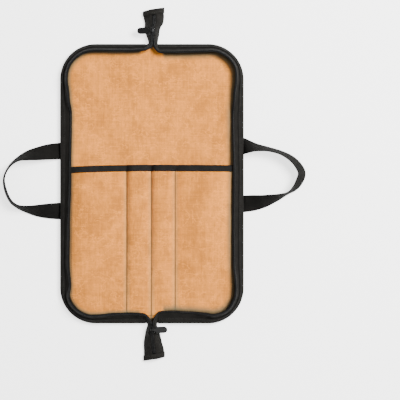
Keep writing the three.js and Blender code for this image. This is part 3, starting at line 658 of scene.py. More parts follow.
def beyond_tape(x, y):
    """How far places lie in from the zip tape's inner edge: the distance to its nearest point.

    It is less than nought under the tape, counts less on the right so that the painted shadow beside the tape
    is wider there, and is raised in both necks so that they get none.
    """
    places = body_places(EDGE_STEP)
    edges = [tape_point(body_section(side, places), [1.0], 0)[:, 0] for side in (-1, 1)]
    edge = np.concatenate(edges)[:, :2]
    spots = np.stack((x, y), axis=-1).reshape(-1, 2)
    inward = inset_at(spots[:, 0], spots[:, 1])
    rim = inset_at(edge[:, 0], edge[:, 1])
    notch = 1 - smooth_step(abs(spots[:, 0]), *NOTCH_SIDE)
    notch = notch * smooth_step(abs(spots[:, 1]), *NOTCH_START)
    far = np.empty(len(spots))
    for part in np.array_split(np.arange(len(spots)), 40):
        gap = spots[part, None] - edge[None]
        off = np.hypot(gap[..., 0], gap[..., 1])
        near = off.argmin(axis=1)
        width = np.where(edge[near, 0] > 0, TAPE_SHADOW_SHARE_RIGHT, 1)
        far[part] = np.where(inward[part] < rim[near], -1, 1) * off.min(axis=1) * width
    return (far + NOTCH_LIFT * notch).reshape(np.shape(x))


def canvas_layer(name, seat, thickness, fullness):
    """A layer of the body: its grid at its seat, lifted to the rim, with the same relief on both faces."""
    x, y = body_grid()
    z = seat + lift_at(inset_at(x, y)) + lining_relief(x, y, fullness)
    beyond = joined(beyond_tape(x, y), 0, 0)
    return cloth_wall(name, joined(x, y, z + thickness), joined(x, y, z), beyond)


def mouth_at(x):
    """Height of the pocket mouth, which falls with the square of the distance from the middle."""
    drop = np.where(x < 0, MOUTH_DROP_LEFT, MOUTH_DROP_RIGHT)
    return MOUTH_HEIGHT - drop * (x / HALF_WIDTH) ** 2


def pocket_columns(per_pocket=36):
    """Pocket number and share of its width for every column; neighbours share their seam's column."""
    share = np.tile(np.linspace(0, 1, per_pocket, endpoint=False), len(DIVIDERS) + 1)
    pocket = np.repeat(np.arange(len(DIVIDERS) + 1), per_pocket)
    return np.append(pocket, len(DIVIDERS)), np.append(share, 1.0)


def pocket_half(down):
    """Half the pocket cloth's width at a share of the way down: straight, then a quarter circle."""
    below = np.clip((down - 1) * POCKET_DEPTH + POCKET_CORNER_RADIUS, 0, POCKET_CORNER_RADIUS)
    side = np.sqrt(np.maximum(POCKET_CORNER_RADIUS**2 - below**2, 0))
    return HALF_WIDTH - POCKET_SIDE_INSET - POCKET_CORNER_RADIUS + side


def pocket_corner(count):
    """Shares of the way down the pocket cloth at even turns of its lower corner."""
    turn = np.linspace(0, math.pi / 2, count)
    return 1 - POCKET_CORNER_RADIUS / POCKET_DEPTH * (1 - np.sin(turn))


def pocket_wrinkles(x, y, seam, puff):
    """Folds of a pocket: swells, creases and puckers off its seams, as high as it stands full."""
    pucker = np.exp(-seam / (5 * MM)) * smooth_step(seam, 0, 2.5 * MM)
    pucker = pucker * (0.5 + 0.5 * np.sin(2 * math.pi * y / (7.5 * MM) + 3 * ripple(x, y, 12, 40 * MM)))
    swell = ripple(x, 0.8 * y, 7, 34 * MM)
    fold = creases(x, 0.7 * y, 8, 46 * MM) * np.clip(ripple(x, y, 9, 50 * MM), 0, 1)
    long_fold = np.exp(-(((x - 73 * MM - 0.04 * (y + 90 * MM)) / (3 * MM)) ** 2))
    long_fold = long_fold * smooth_step(y, -145 * MM, -125 * MM) * (1 - smooth_step(y, -70 * MM, -50 * MM))
    full = puff / MOUTH_PUFF
    broad = full * (POCKET_SWELL * swell + POCKET_FOLD * fold - LONG_FOLD * long_fold)
    return broad + (0.25 + 0.75 * full) * 0.55 * MM * pucker


def pocket_surface(pocket, share, down, lift, fullness=1.0):
    """Middle surface of the pocket cloth, lifted: held down at each seam, arched by a fourth power."""
    half = pocket_half(down)
    seams = np.array(DIVIDERS)
    left = np.where(pocket == 0, -half, seams[np.maximum(pocket - 1, 0)])
    right = np.where(pocket == len(seams), half, seams[np.minimum(pocket, len(seams) - 1)])
    x = left + (right - left) * share
    bottom = -(HALF_LENGTH - POCKET_BOTTOM_INSET)
    y = mouth_at(x) - BINDING_THICKNESS - LAYER_GAP
    y = y + (bottom - y) * down
    arch = 1 - (2 * share - 1) ** 4
    puff = fullness * MOUTH_PUFF * eased(down, PUFF_DOWN, PUFF) * arch
    hold = (BINDING_THICKNESS + LAYER_GAP) * (1 - smooth_step(down, 0.045, 0.12))
    seam = np.minimum(np.minimum(x - left, right - x), y - bottom)
    z = POCKET_SEAT + lift_at(inset_at(x, y)) + LAYER_GAP + POCKET_THICKNESS / 2 + hold + puff
    return joined(x, y, z + pocket_wrinkles(x, y, np.maximum(seam, 0), puff) + lift)


def pocket_panel(name, fullness):
    """The pocket cloth: rows from the mouth to the bottom, closer in the corners."""
    corner = pocket_corner(30)
    down = np.concatenate((np.linspace(0, corner[0], 110)[:-1], corner))[:, None]
    pocket, share = pocket_columns()
    half = POCKET_THICKNESS / 2
    upper, lower = (
        pocket_surface(pocket[None, :], share[None, :], down, lift, fullness) for lift in (half, -half)
    )
    return cloth_wall(name, upper, lower, joined(beyond_tape(upper[..., 0], upper[..., 1]), 0, 0))


def mouth_profile(flap, lift, nose, count=8):
    """Profile of the tape over the mouth: down its front, round half an ellipse, down its back.

    Three rows: the way down the cloth, the lift off its middle surface and the reach beyond its top edge.
    """
    down = np.linspace(flap, 0, count)
    turn = np.linspace(0, math.pi, count)[1:-1]
    way = np.concatenate((down, np.zeros(len(turn)), down[::-1]))
    off = np.concatenate((np.full(count, lift), lift * np.cos(turn), np.full(count, -lift)))
    out = np.concatenate((np.zeros(count), nose * np.sin(turn), np.zeros(count)))
    return way, off, out


def pocket_binding(name, fullness):
    """The mouth's tape: the profile over the top edge, carried along every column of the pocket cloth."""
    near = POCKET_THICKNESS / 2 + LAYER_GAP
    flap = (MOUTH_BINDING - BINDING_THICKNESS - LAYER_GAP) / POCKET_DEPTH
    pocket, share = pocket_columns()

    def layer(lift, nose):
        way, off, out = mouth_profile(flap, lift, nose)
        points = pocket_surface(pocket[:, None], share[:, None], way[None, :], off[None, :], fullness)
        points[..., 1] += out[None, :]
        return points

    outer = layer(near + BINDING_THICKNESS, BINDING_THICKNESS + LAYER_GAP)
    across = np.linspace(0, MOUTH_WEAVE, outer.shape[1])[None, :]
    return cloth_wall(name, outer, layer(near, LAYER_GAP), joined(outer[..., 0], across, 0))


# Binding and zip


def surface_lengths(grid):
    """Lengths along the first and the second axis of a grid of points, from its middle lines, in metres."""
    rows, columns = grid.shape[:2]
    return joined(lengths(grid[:, columns // 2])[:, None], lengths(grid[rows // 2])[None, :], 0)


def cloth_strip(name, top, bottom):
    """A strip of cloth between two grids, with its lengths along and across as its own coordinates."""
    return cloth_wall(name, top, bottom, surface_lengths(top))


def edge_binding(name, side):
    """Tape over a half's edge: lower flap, fold and upper flap, rounded by easing the straight profile.

    The profile is laid at every place round the half; its upper part follows the zip tape.
    """
    places = body_places()
    section = body_section(side, places)
    edge, inward = edge_at(side, places)
    wave = BINDING_WAVE * ripple(places * round_length(), 0, 21 + side, 14 * MM)

    def layer(lift, inset, bottom):
        corners = (
            (BINDING_FLAP, bottom),
            (PANEL_INSET + 0.7 * MM, bottom),
            (inset + 0.5 * MM, BASE_LIFT + BINDING_THICKNESS),
            (inset, (BASE_LIFT + TAPE_SEAT) / 2),
            (inset + 0.5 * MM, TAPE_SEAT + LAYER_GAP),
        )
        lower = [edge + inward * d + UP * z for d, z in corners]
        shares = np.linspace(0, BINDING_SHARE, 9)
        upper = tape_point(section, shares, np.full((1, len(shares)), lift))
        upper[..., 2] += smooth_step(shares, 0.05, 0.2)[None, :] * np.maximum(wave, -0.1 * MM)[:, None]
        profile = np.concatenate((np.array(lower), upper.transpose(1, 0, 2)))
        key = np.concatenate((np.linspace(0, 5, 31), np.arange(6, len(profile))))
        low = np.minimum(key.astype(int), len(profile) - 2)
        share = (key - low)[:, None, None]
        dense = profile[low] * (1 - share) + profile[low + 1] * share
        return smoothed(dense, 3).transpose(1, 0, 2)

    outer = layer(TAPE_COVER + BINDING_THICKNESS, 0, BASE_LIFT)
    inner = layer(TAPE_COVER, BINDING_THICKNESS, BASE_LIFT + BINDING_THICKNESS)
    return cloth_strip(name, outer, inner)


def tape_lip(sections, start):
    """Sections of the tape's inner edge, a curve down from the tape and under the coil sewn on it.

    The curve draws in to the tape's own end where a slider takes the coil's place.
    """
    coil, end = sections["coil"], sections["end"]
    toward = unit(coil - sections["bend"])
    down = unit(toward * toward[:, 2:] - UP)
    corner = coil - toward * COIL_RADIUS + down * LIP_DROP
    last = coil + toward * COIL_RADIUS + down * LIP_DROP
    open_share = np.ones(len(coil))
    for tail in TAILS.values():
        off = np.abs(coil[:, 1] - tail["toward"] * (HALF_LENGTH + tail["slider_at"]))
        open_share *= smooth_step(off, SLIDER_LENGTH / 2 - SLIDER_FADE, SLIDER_LENGTH / 2)
    return {
        "foot": tape_point(sections, [start], 0)[:, 0],
        "bend": end + (corner - end) * open_share[:, None],
        "end": end + (last - end) * open_share[:, None],
    }


def zip_tape(name, side):
    """Woven tape of a zip half: the section and its lip, carried round the half and both tails."""
    sections = zip_sections(side)
    start = 1 - LIP_START / TAPE_WIDTH
    lip = tape_lip(sections, start)

    def layer(lift):
        flat = tape_point(sections, np.linspace(0, start, 11), lift)
        under = tape_point(lip, np.linspace(0, 1, 8)[1:], lift)
        grid = np.concatenate((flat, under), axis=1)
        return smoothed(grid.transpose(1, 0, 2), 1).transpose(1, 0, 2)

    return cloth_strip(name, layer(TAPE_THICKNESS / 2), layer(-TAPE_THICKNESS / 2))


def coil(path, half_across, half_high, per_turn=9):
    """A spiral filament and its core: a tube round a point that turns on an ellipse once a pitch."""
    line = spaced_line(path, TOOTH_PITCH / per_turn)
    across, high = path_frames(line)
    turn = np.arange(len(line)) * 2 * math.pi / per_turn
    offset = across * (half_across * np.cos(turn))[:, None] + high * (half_high * np.sin(turn))[:, None]
    centre = line + offset
    along = unit(np.gradient(centre, axis=0))
    outward = unit(offset)
    side = unit(np.cross(along, outward))
    filament = tube(centre, side, unit(np.cross(side, along)), FILAMENT_RADIUS, FILAMENT_RADIUS, 4)
    inside = line[::per_turn]
    core_half = half_across + FILAMENT_RADIUS / 2
    core = tube(inside, *path_frames(inside), core_half, half_high - FILAMENT_RADIUS)
    return gathered((filament, core))


def slider_entry(tail):
    """Distance out at which the open coils run into the slider."""
    return tail["slider_at"] - SLIDER_LENGTH / 2 - LAYER_GAP


def zip_coil(name, side):
    """The open spiral of a half, from slider to slider round the body."""
    ends = {key: np.linspace(0, slider_entry(tail), 8) for key, tail in TAILS.items()}
    top = tail_section(side, TAILS["top"], ends["top"][::-1])["coil"]
    bottom = tail_section(side, TAILS["bottom"], ends["bottom"])["coil"]
    line = np.concatenate((top, body_section(side, body_places())["coil"], bottom))
    line = smoothed(spaced_line(line, ROUND_STEP), ROUND_EASING)
    points, faces = coil(line, COIL_RADIUS - FILAMENT_RADIUS, COIL_HALF_HEIGHT)
    return add_mesh(name, points, faces)


def closed_coil(name, tail):
    """Two spirals side by side whose inner sides lie between each other, from the slider to the hem."""
    out = np.linspace(tail["slider_at"] + SLIDER_LENGTH / 2 + LAYER_GAP, hem_start(tail), 30)
    middle = (tail_section(-1, tail, out)["coil"] + tail_section(1, tail, out)["coil"]) / 2
    line = smoothed(middle, 2)
    across, _ = path_frames(line)
    reach = CLOSED_REACH * (CLOSED_COIL_HALF_WIDTH - FILAMENT_RADIUS)
    shift = CLOSED_COIL_HALF_WIDTH - FILAMENT_RADIUS - reach
    points, faces = gathered([
        coil(line + sign * shift * across, reach, COIL_HALF_HEIGHT) for sign in (-1, 1)
    ])
    return add_mesh(name, points, faces)


def across_end(tail, first, lift):
    """Points across the tape's end, lifted: over one half from a share of its width, back over the other."""
    halves = []
    for side, ends in ((-1, (first, 1)), (1, (1, first))):
        section = {key: value[None] for key, value in tail_section(side, tail, tape_end(tail)).items()}
        halves.append(tape_point(section, np.linspace(*ends, 14), lift)[0])
    return np.concatenate(halves)


def tail_hem(name, tail):
    """Tape folded over a tail's end: a front, a round fold and a back, laid across both halves of the zip."""

    def layer(lift, nose):
        way, off, out = mouth_profile(-HEM_LENGTH, lift, nose, 6)
        sheets = []
        for rise, back, reach in zip(off, way, out):
            rows = across_end(tail, 0, rise)
            rows[:, 1] += tail["toward"] * (back + reach)
            sheets.append(smoothed(rows, 2))
        return np.stack(sheets, axis=1)

    outer = layer(TAPE_COVER + BINDING_THICKNESS, BINDING_THICKNESS + LAYER_GAP)
    return cloth_strip(name, outer, layer(TAPE_COVER, LAYER_GAP))


# Handles


def handle_frames(handle):
    """Points of a handle's middle line with its directions across and through the webbing.

    The webbing stands on the table on its lower edge where it is turned, so its middle is raised by
    half its width times the sine of the turn, and its edge directions are the outward one and up, mixed
    by cosine and sine.
    """
    x, y, flat = handle_path(handle)
    on_edge = np.sqrt(1 - flat**2)
    line = joined(x, y, WEBBING_WIDTH / 2 * on_edge + WEBBING_THICKNESS / 2 * flat)
    along = unit(np.gradient(joined(x, y, 0), axis=0))
    outward = joined(-handle["side"] * -along[:, 1], -handle["side"] * along[:, 0], 0)
    across = outward * flat[:, None] + UP * on_edge[:, None]
    through = outward * -on_edge[:, None] + UP * flat[:, None]
    return line, across, through


def handle(name, layout):
    """Webbing with thinner edges: half its thickness shrinks with the eighth power of the way across."""
    line, across, through = handle_frames(layout)
    share = np.array((-1, -0.97, -0.85, -0.6, -0.3, 0, 0.3, 0.6, 0.85, 0.97, 1))
    half = WEBBING_THICKNESS / 2 * (1 - 0.55 * share**8)
    middle = line[:, None, :] + across[:, None, :] * (share * WEBBING_WIDTH / 2)[None, :, None]
    off = through[:, None, :] * half[None, :, None]
    return cloth_strip(name, middle + off, middle - off)


# Thread


def add_thread(name, rows):
    """One piece of all the stitches in several rows."""
    points, faces = gathered(rows)
    return add_mesh(name, points, faces)


def binding_thread(side):
    """Rows along the binding, on its upper flap and under its lower one."""
    places = body_places()
    section = body_section(side, places)
    lift = TAPE_COVER + BINDING_THICKNESS + 0.15 * MM
    path = tape_point(section, [BINDING_ROW], lift)[:, 0]
    above = tape_point(section, [BINDING_ROW], lift + 1 * MM)[:, 0]
    edge, inward = edge_at(side, places)
    under = edge + inward * (BINDING_FLAP - UNDER_ROW_INSET) + UP * (BASE_LIFT - 0.1 * MM)
    return [stitch_row(path, above - path, BINDING_STITCH), stitch_row(under, -UP, BINDING_STITCH)]


def pocket_thread(fullness):
    """Rows down the three seams, round the pocket cloth's edge and along the mouth's tape."""
    rows = []
    half_cloth = POCKET_THICKNESS / 2 + 0.05 * MM
    down = np.linspace(0.05, 0.995, 160)
    for pocket in range(len(DIVIDERS)):
        path = pocket_surface(np.full(160, pocket), np.ones(160), down, half_cloth, fullness)
        rows.append(stitch_row(path, UP, POCKET_STITCH))
    corner = pocket_corner(24)
    side_down = np.concatenate((np.linspace(0.05, corner[0], 80)[:-1], np.minimum(corner, 0.985)))
    for pocket, edge_share in ((0, POCKET_SIDE_ROW), (len(DIVIDERS), 1 - POCKET_SIDE_ROW)):
        count = len(side_down)
        column = (np.full(count, pocket), np.full(count, edge_share))
        path = smoothed(pocket_surface(*column, side_down, half_cloth, fullness), 2)
        rows.append(stitch_row(path, UP, POCKET_STITCH))
    pocket, share = pocket_columns()
    low = (MOUTH_BINDING - BINDING_THICKNESS - LAYER_GAP - MOUTH_ROW_INSET) / POCKET_DEPTH
    lift = half_cloth + LAYER_GAP + BINDING_THICKNESS + 0.05 * MM
    path = pocket_surface(pocket, share, np.full(len(share), low), lift, fullness)
    rows.append(stitch_row(path, UP, MOUTH_STITCH))
    return rows


def hem_thread(tail):
    """A row across the hem, two thirds of the way back from its fold."""
    path = across_end(tail, 0.06, TAPE_COVER + BINDING_THICKNESS + 0.1 * MM)
    path[:, 1] -= tail["toward"] * HEM_ROW * HEM_LENGTH
    return [stitch_row(smoothed(path, 2), UP, HEM_STITCH)]


def handle_thread(layout):
    """A box with a cross on each sewn base, seen from below."""
    rows = []
    inner = HALF_WIDTH - HANDLE_BASE + HANDLE_ROW_INSET
    outer = HALF_WIDTH - BINDING_FLAP - HANDLE_ROW_INSET
    for end in (-1, 1):
        middle = layout["middle"] + end * layout["half_spread"]
        low = middle - WEBBING_WIDTH / 2 + HANDLE_ROW_INSET
        high = middle + WEBBING_WIDTH / 2 - HANDLE_ROW_INSET
        corners = [(inner, low), (outer, low), (outer, high), (inner, high)]
        for a, b in ((0, 1), (1, 2), (2, 3), (3, 0), (0, 2), (1, 3)):
            ends = np.array([(layout["side"] * corners[k][0], corners[k][1], 0.05 * MM) for k in (a, b)])
            path = ends[0] + (ends[1] - ends[0]) * np.linspace(0, 1, 30)[:, None]
            rows.append(stitch_row(path, (0, 0, -1.0), HANDLE_STITCH))
    return rows


# Metal


def hardware(name, node, body):
    """A merged copy of a CAD node with its flat faces joined and its edges rounded."""
    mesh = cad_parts[node].data.copy()
    mesh.materials.clear()
    work = bmesh.new()
    work.from_mesh(mesh)
    bmesh.ops.remove_doubles(work, verts=work.verts, dist=MERGE_DISTANCE)
    bmesh.ops.dissolve_limit(work, angle_limit=FLAT_ANGLE, verts=work.verts, edges=work.edges)
    for face in work.faces:
        face.smooth = True
    work.to_mesh(mesh)
    work.free()
    obj = bpy.data.objects.new(name, mesh)
    bpy.context.scene.collection.objects.link(obj)
    bevel = obj.modifiers.new("edges", "BEVEL")
    bevel.width = EDGE_BEVEL
    bevel.segments = 2
    bevel.limit_method = "ANGLE"
    bevel.angle_limit = EDGE_ANGLE
    obj.modifiers.new("shading", "WEIGHTED_NORMAL")
    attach(obj, body)
    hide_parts(node)
    return obj


# Finishes


class Value:
    """A number that a node gives, with arithmetic that adds Math nodes."""

    def __init__(self, shader, socket):
        self.shader = shader
        self.socket = socket

    def math(self, operation, a, b=0.0):
        return self.shader.node("ShaderNodeMath", {"operation": operation}, {0: a, 1: b})

    def __add__(self, other):
        return self.math("ADD", self, other)

    def __radd__(self, other):
        return self.math("ADD", other, self)

    def __sub__(self, other):
        return self.math("SUBTRACT", self, other)

    def __rsub__(self, other):
        return self.math("SUBTRACT", other, self)

    def __mul__(self, other):
        return self.math("MULTIPLY", self, other)

    def __abs__(self):
        return self.math("ABSOLUTE", self)

    def sine(self):
        return self.math("SINE", self)

    def wave(self, pitch):
        """A sine wave along the value, one turn to a pitch."""
        return (self * (2 * math.pi / pitch)).sine()

    def fade(self, low, high):
        """Nought at low, one at high, smooth between."""
        settings = {"interpolation_type": "SMOOTHSTEP"}
        return self.shader.node("ShaderNodeMapRange", settings, {0: self, 1: low, 2: high, 3: 0.0, 4: 1.0})


class Shader:
    """A material while its nodes are made."""

    def __init__(self, name):
        self.material = bpy.data.materials.new(name)
        self.material.use_nodes = True
        self.tree = self.material.node_tree
        self.tree.nodes.clear()

    def node(self, kind, settings, inputs, output=0):
        """One output of a new node, whose settings are made before its sockets get values or links."""
        node = self.tree.nodes.new(kind)
        for key, value in settings.items():
            setattr(node, key, value)
        for key, value in inputs.items():
            if isinstance(value, Value):
                self.tree.links.new(value.socket, node.inputs[key])
            else:
                node.inputs[key].default_value = value
        return Value(self, node.outputs[output])

    def place(self):
        """Object coordinates."""
        return self.node("ShaderNodeTexCoord", {}, {}, "Object")

    def surface(self):
        """A cloth strip's own lengths along and across."""
        return self.node("ShaderNodeAttribute", {"attribute_name": "weave"}, {}, "Vector")

    def parts(self, vector):
        """The three numbers of a vector."""
        node = self.tree.nodes.new("ShaderNodeSeparateXYZ")
        self.tree.links.new(vector.socket, node.inputs[0])
        return [Value(self, output) for output in node.outputs]

    def stretched(self, vector, x, y, z):
        """A vector with each part multiplied."""
        return self.node("ShaderNodeVectorMath", {"operation": "MULTIPLY"}, {0: vector, 1: (x, y, z)})

    def noise(self, vector, scale, detail=3.0, roughness=0.55):
        """Soft noise between about nought and one."""
        sockets = {"Vector": vector, "Scale": scale, "Detail": detail, "Roughness": roughness}
        return self.node("ShaderNodeTexNoise", {"noise_dimensions": "3D"}, sockets, "Fac")

    def mix(self, mask, low, high):
        """A colour between two, by a mask."""
        settings = {"data_type": "RGBA", "blend_type": "MIX"}
        return self.node("ShaderNodeMix", settings, {0: mask, 6: low, 7: high}, 2)

    def finish(self, colour, roughness, height, depth, distance, **fixed):
        """The shader itself: colour, roughness, a bump from a height, and fixed values by socket name."""
        bump = self.node(
            "ShaderNodeBump", {}, {"Strength": depth, "Distance": distance, "Height": height}, "Normal"
        )
        sockets = {"Base Color": colour, "Roughness": roughness, "Normal": bump}
        sockets.update({key.replace("_", " "): value for key, value in fixed.items()})
        surface = self.node("ShaderNodeBsdfPrincipled", {}, sockets)
        output = self.tree.nodes.new("ShaderNodeOutputMaterial")
        self.tree.links.new(surface.socket, output.inputs["Surface"])
        return self.material


def shade(colour, factor):
    """A colour made lighter or darker, with full alpha."""
    return tuple(min(channel * factor, 1.0) for channel in colour[:3]) + (1.0,)


def canvas_finish(name, colour, shadow, seams=()):
    """Waxed canvas: wax clouds, smudges, slubby yarns both ways, thin pale creases and a plain weave.

    The cloth's own numbers give how far it lies in from the zip tape: painted shade greys and darkens it just
    inside the tape, wider on the right, and beside each seam.
    """
    shader = Shader(name)
    place = shader.place()
    x, y, _ = shader.parts(place)
    beyond, _, _ = shader.parts(shader.surface())
    clouds = shader.noise(place, 14.0, 5.0, 0.62).fade(0.34, 0.66)
    patches = shader.noise(place, 60.0, 4.0, 0.6).fade(0.36, 0.66)
    smudges = shader.noise(shader.stretched(place, 22.0, 13.0, 20.0), 1.0, 4.0, 0.6).fade(0.5, 0.7)
    slubs_down = shader.noise(shader.stretched(place, 330.0, 14.0, 60.0), 1.0, 3.0, 0.65)
    slubs_over = shader.noise(shader.stretched(place, 14.0, 330.0, 60.0), 1.0, 3.0, 0.65)
    slubs = (slubs_down + slubs_over) * 0.5
    mottles = shader.noise(shader.stretched(place, 170.0, 110.0, 110.0), 1.0, 4.0, 0.65)
    warp = shader.noise(shader.stretched(place, 900.0, 45.0, 100.0), 1.0, 2.0)
    weft = shader.noise(shader.stretched(place, 45.0, 900.0, 100.0), 1.0, 2.0)
    yarns = ((warp + weft) * 0.5).fade(0.36, 0.64)
    folds = shader.noise(shader.stretched(place, 20.0, 34.0, 20.0), 1.0, 4.0, 0.6)
    rubbed = 1 - abs(folds - 0.5).fade(0.0, 0.014)
    crinkles = shader.noise(shader.stretched(place, 46.0, 60.0, 50.0), 1.0, 5.0, 0.65)
    crinkled = (1 - abs(crinkles - 0.5).fade(0.0, 0.018)) * patches
    threads = x.wave(WEAVE_PITCH) * y.wave(WEAVE_PITCH)
    tone = shader.mix(clouds, shade(colour, 0.76), shade(colour, 1.14))
    tone = shader.mix(patches * 0.6, tone, shade(colour, 1.24))
    tone = shader.mix(smudges * 0.7, tone, shade(colour, 0.62))
    tone = shader.mix(slubs.fade(0.5, 0.62) * 0.28, tone, shade(colour, 1.5))
    tone = shader.mix((1 - slubs.fade(0.38, 0.49)) * 0.26, tone, shade(colour, 0.55))
    tone = shader.mix(mottles.fade(0.52, 0.66) * 0.35, tone, shade(colour, 1.5))
    tone = shader.mix((1 - mottles.fade(0.34, 0.48)) * 0.35, tone, shade(colour, 0.6))
    tone = shader.mix(yarns * 0.28, tone, shade(colour, 0.74))
    tone = shader.mix(rubbed * 0.42, tone, shade(colour, 1.6))
    tone = shader.mix(crinkled * 0.4, tone, shade(colour, 1.6))
    tone = shader.mix((threads * 0.5 + 0.5) * 0.1, tone, shade(colour, 0.7))
    # Painted shade along each seam: a grey-brown band over its shaded slopes.
    for seam in seams:
        greyed_shade = 1 - abs(x - seam).fade(*SEAM_SHADE_FADE)
        tone = shader.mix(greyed_shade * 0.25, tone, shade(shadow, 9.0))
        # Painted shade: a thin dark line in each seam's groove.
        worn = 1 - abs(x - seam).fade(*SEAM_GROOVE_SHADE_FADE)
        tone = shader.mix(worn * 0.8, tone, shade(shadow, 1.6))
    # Painted shadow of the zip tape on the canvas just inside it: a broad grey-brown band, then a dark brown
    # one next to the tape.
    greyed_shade = 1 - beyond.fade(*TAPE_SHADE_FADE)
    tone = shader.mix(greyed_shade * 0.85, tone, TAPE_SHADE_GREY)
    tape_shadow = 1 - beyond.fade(*TAPE_SHADOW_FADE)
    tone = shader.mix(tape_shadow * 0.92, tone, shade(shadow, 1.0))
    roughness = 0.88 - clouds * 0.14 - rubbed * 0.08
    height = threads * 0.35 + yarns * 0.9 + patches * 0.5 + (rubbed + crinkled) * 0.4 + slubs * 1.2
    return shader.finish(tone, roughness, height, 0.6, 0.3 * MM, Specular_IOR_Level=0.06)


def tape_finish(name, colour, pitch, twill, lint):
    """Woven tape: slanted ribs along the strip's own lengths, lint and paler worn patches."""
    shader = Shader(name)
    surface = shader.surface()
    along, across, _ = shader.parts(surface)
    turn = 2 * math.pi / pitch
    ribs = (along * turn + across * (turn * twill)).sine() * 0.5 + 0.5
    yarns = across.wave(0.8 * pitch) * 0.5 + 0.5
    fuzz = shader.noise(shader.stretched(surface, 700.0, 1500.0, 1.0), 1.0, 3.0)
    wear = shader.noise(surface, 90.0, 4.0, 0.6).fade(0.35, 0.7)
    tone = shader.mix(ribs * 0.55, shade(colour, 0.62), shade(colour, 1.35))
    tone = shader.mix(yarns * 0.25, tone, shade(colour, 0.6))
    tone = shader.mix(fuzz.fade(0.55, 0.75) * lint, tone, shade(colour, 3.0))
    tone = shader.mix(wear * 0.3, tone, shade(colour, 1.7))
    roughness = 0.8 + fuzz * 0.15 - wear * 0.1
    height = ribs * 0.8 + yarns * 0.4 + fuzz * 0.3
    return shader.finish(tone, roughness, height, 0.7, 0.2 * MM, Specular_IOR_Level=0.12)


def webbing_finish(name, colour):
    """Webbing: thick yarns in slanted pairs whose slant turns with every band, with a painted highlight on
    their tops.
    """
    shader = Shader(name)
    surface = shader.surface()
    along, across, _ = shader.parts(surface)
    band = abs(across.wave(WEBBING_BAND))
    chevron = (along * (2 * math.pi / WEBBING_CHEVRON) + band * 5.0).sine() * 0.5 + 0.5
    cords = across.wave(WEBBING_CORD) * 0.5 + 0.5
    fuzz = shader.noise(shader.stretched(surface, 600.0, 1200.0, 1.0), 1.0, 3.0)
    dust = shader.noise(surface, 55.0, 4.0, 0.6).fade(0.4, 0.75)
    # Painted highlight: the tops of the chevron yarns are painted lighter.
    tone = shader.mix(chevron * 0.6, shade(colour, 0.55), shade(colour, 1.5))
    tone = shader.mix(cords * 0.3, tone, shade(colour, 0.6))
    tone = shader.mix(dust * 0.22, tone, shade(colour, 2.2))
    roughness = 0.82 + fuzz * 0.12 - dust * 0.06
    height = chevron * 1.0 + cords * 0.5 + fuzz * 0.25
    return shader.finish(tone, roughness, height, 0.6, 0.3 * MM, Specular_IOR_Level=0.04)


def coil_finish(name, colour):
    """Nylon of the zip: drawn filament with faint lengthwise dull patches."""
    shader = Shader(name)
    place = shader.place()
    dull = shader.noise(place, 260.0, 3.0).fade(0.35, 0.7)
    fine = shader.noise(place, 2600.0, 2.0)
    tone = shader.mix(dull, shade(colour, 0.8), shade(colour, 1.6))
    roughness = 0.38 + dull * 0.22
    return shader.finish(tone, roughness, fine, 0.25, 0.05 * MM, Specular_IOR_Level=0.14)


def metal_finish(name, colour, bare):
    """Black paint on metal: a faint orange peel, fine scratches and small worn spots that show the metal."""
    shader = Shader(name)
    place = shader.place()
    peel = shader.noise(place, 1800.0, 2.0)
    scratches = shader.noise(shader.stretched(place, 400.0, 5200.0, 900.0), 1.0, 2.0).fade(0.6, 0.72)
    spots = shader.noise(place, 520.0, 4.0, 0.7).fade(0.64, 0.72)
    tone = shader.mix(scratches * 0.35, shade(colour, 1.0), shade(colour, 2.4))
    tone = shader.mix(spots * 0.5, tone, shade(bare, 1.0))
    roughness = 0.34 + peel * 0.12 + scratches * 0.14
    height = peel * 0.5 + scratches
    return shader.finish(tone, roughness, height, 0.2, 0.05 * MM, Metallic=0.4, Specular_IOR_Level=0.2)


def thread_finish(name, colour):
    """Sewing thread: slanted plies and a little lint."""
    shader = Shader(name)
    place = shader.place()
    x, y, z = shader.parts(place)
    plies = (x + y * 0.7 + z * 2).wave(THREAD_PLY) * 0.5 + 0.5
    lint = shader.noise(place, 900.0, 2.0)
    tone = shader.mix(plies * 0.5, shade(colour, 0.65), shade(colour, 1.3))
    roughness = 0.62 + lint * 0.2
    return shader.finish(tone, roughness, plies + lint * 0.4, 0.4, 0.08 * MM, Specular_IOR_Level=0.3)


def floor_finish(name, colour):
    """Pale matt floor with a barely uneven tone."""
    shader = Shader(name)
    place = shader.place()
    cloud = shader.noise(place, 2.5, 2.0)
    tone = shader.mix(cloud, shade(colour, 0.985), shade(colour, 1.0))
    roughness = 0.9 + cloud * 0.04
    return shader.finish(
        tone, roughness, cloud, 0.02, 0.1 * MM, Emission_Color=tone, Emission_Strength=FLOOR_GLOW
    )


def set_finish(obj, material):
    """Gives a piece its one material."""
    obj.data.materials.clear()
    obj.data.materials.append(material)


# Settings


class KnifeRollSizes(bpy.types.PropertyGroup):
    """Sizes that a user would change."""

    lining_fullness: FloatProperty(
        name="Lining fullness",
        description="How far the free lining swells, as a share",
        default=1.0,
        min=0.0,
        max=1.5,
    )
    pocket_fullness: FloatProperty(
        name="Pocket fullness",
        description="How far the pockets stand open, as a share",
        default=1.0,
        min=0.4,
        max=1.1,
    )
    camera_distance: FloatProperty(
        name="Camera height", description="Height of the camera over the roll", default=2.49, unit="LENGTH"
    )
    camera_lens: FloatProperty(
        name="Lens", description="Focal length in millimetres", default=150.0, min=20.0
    )


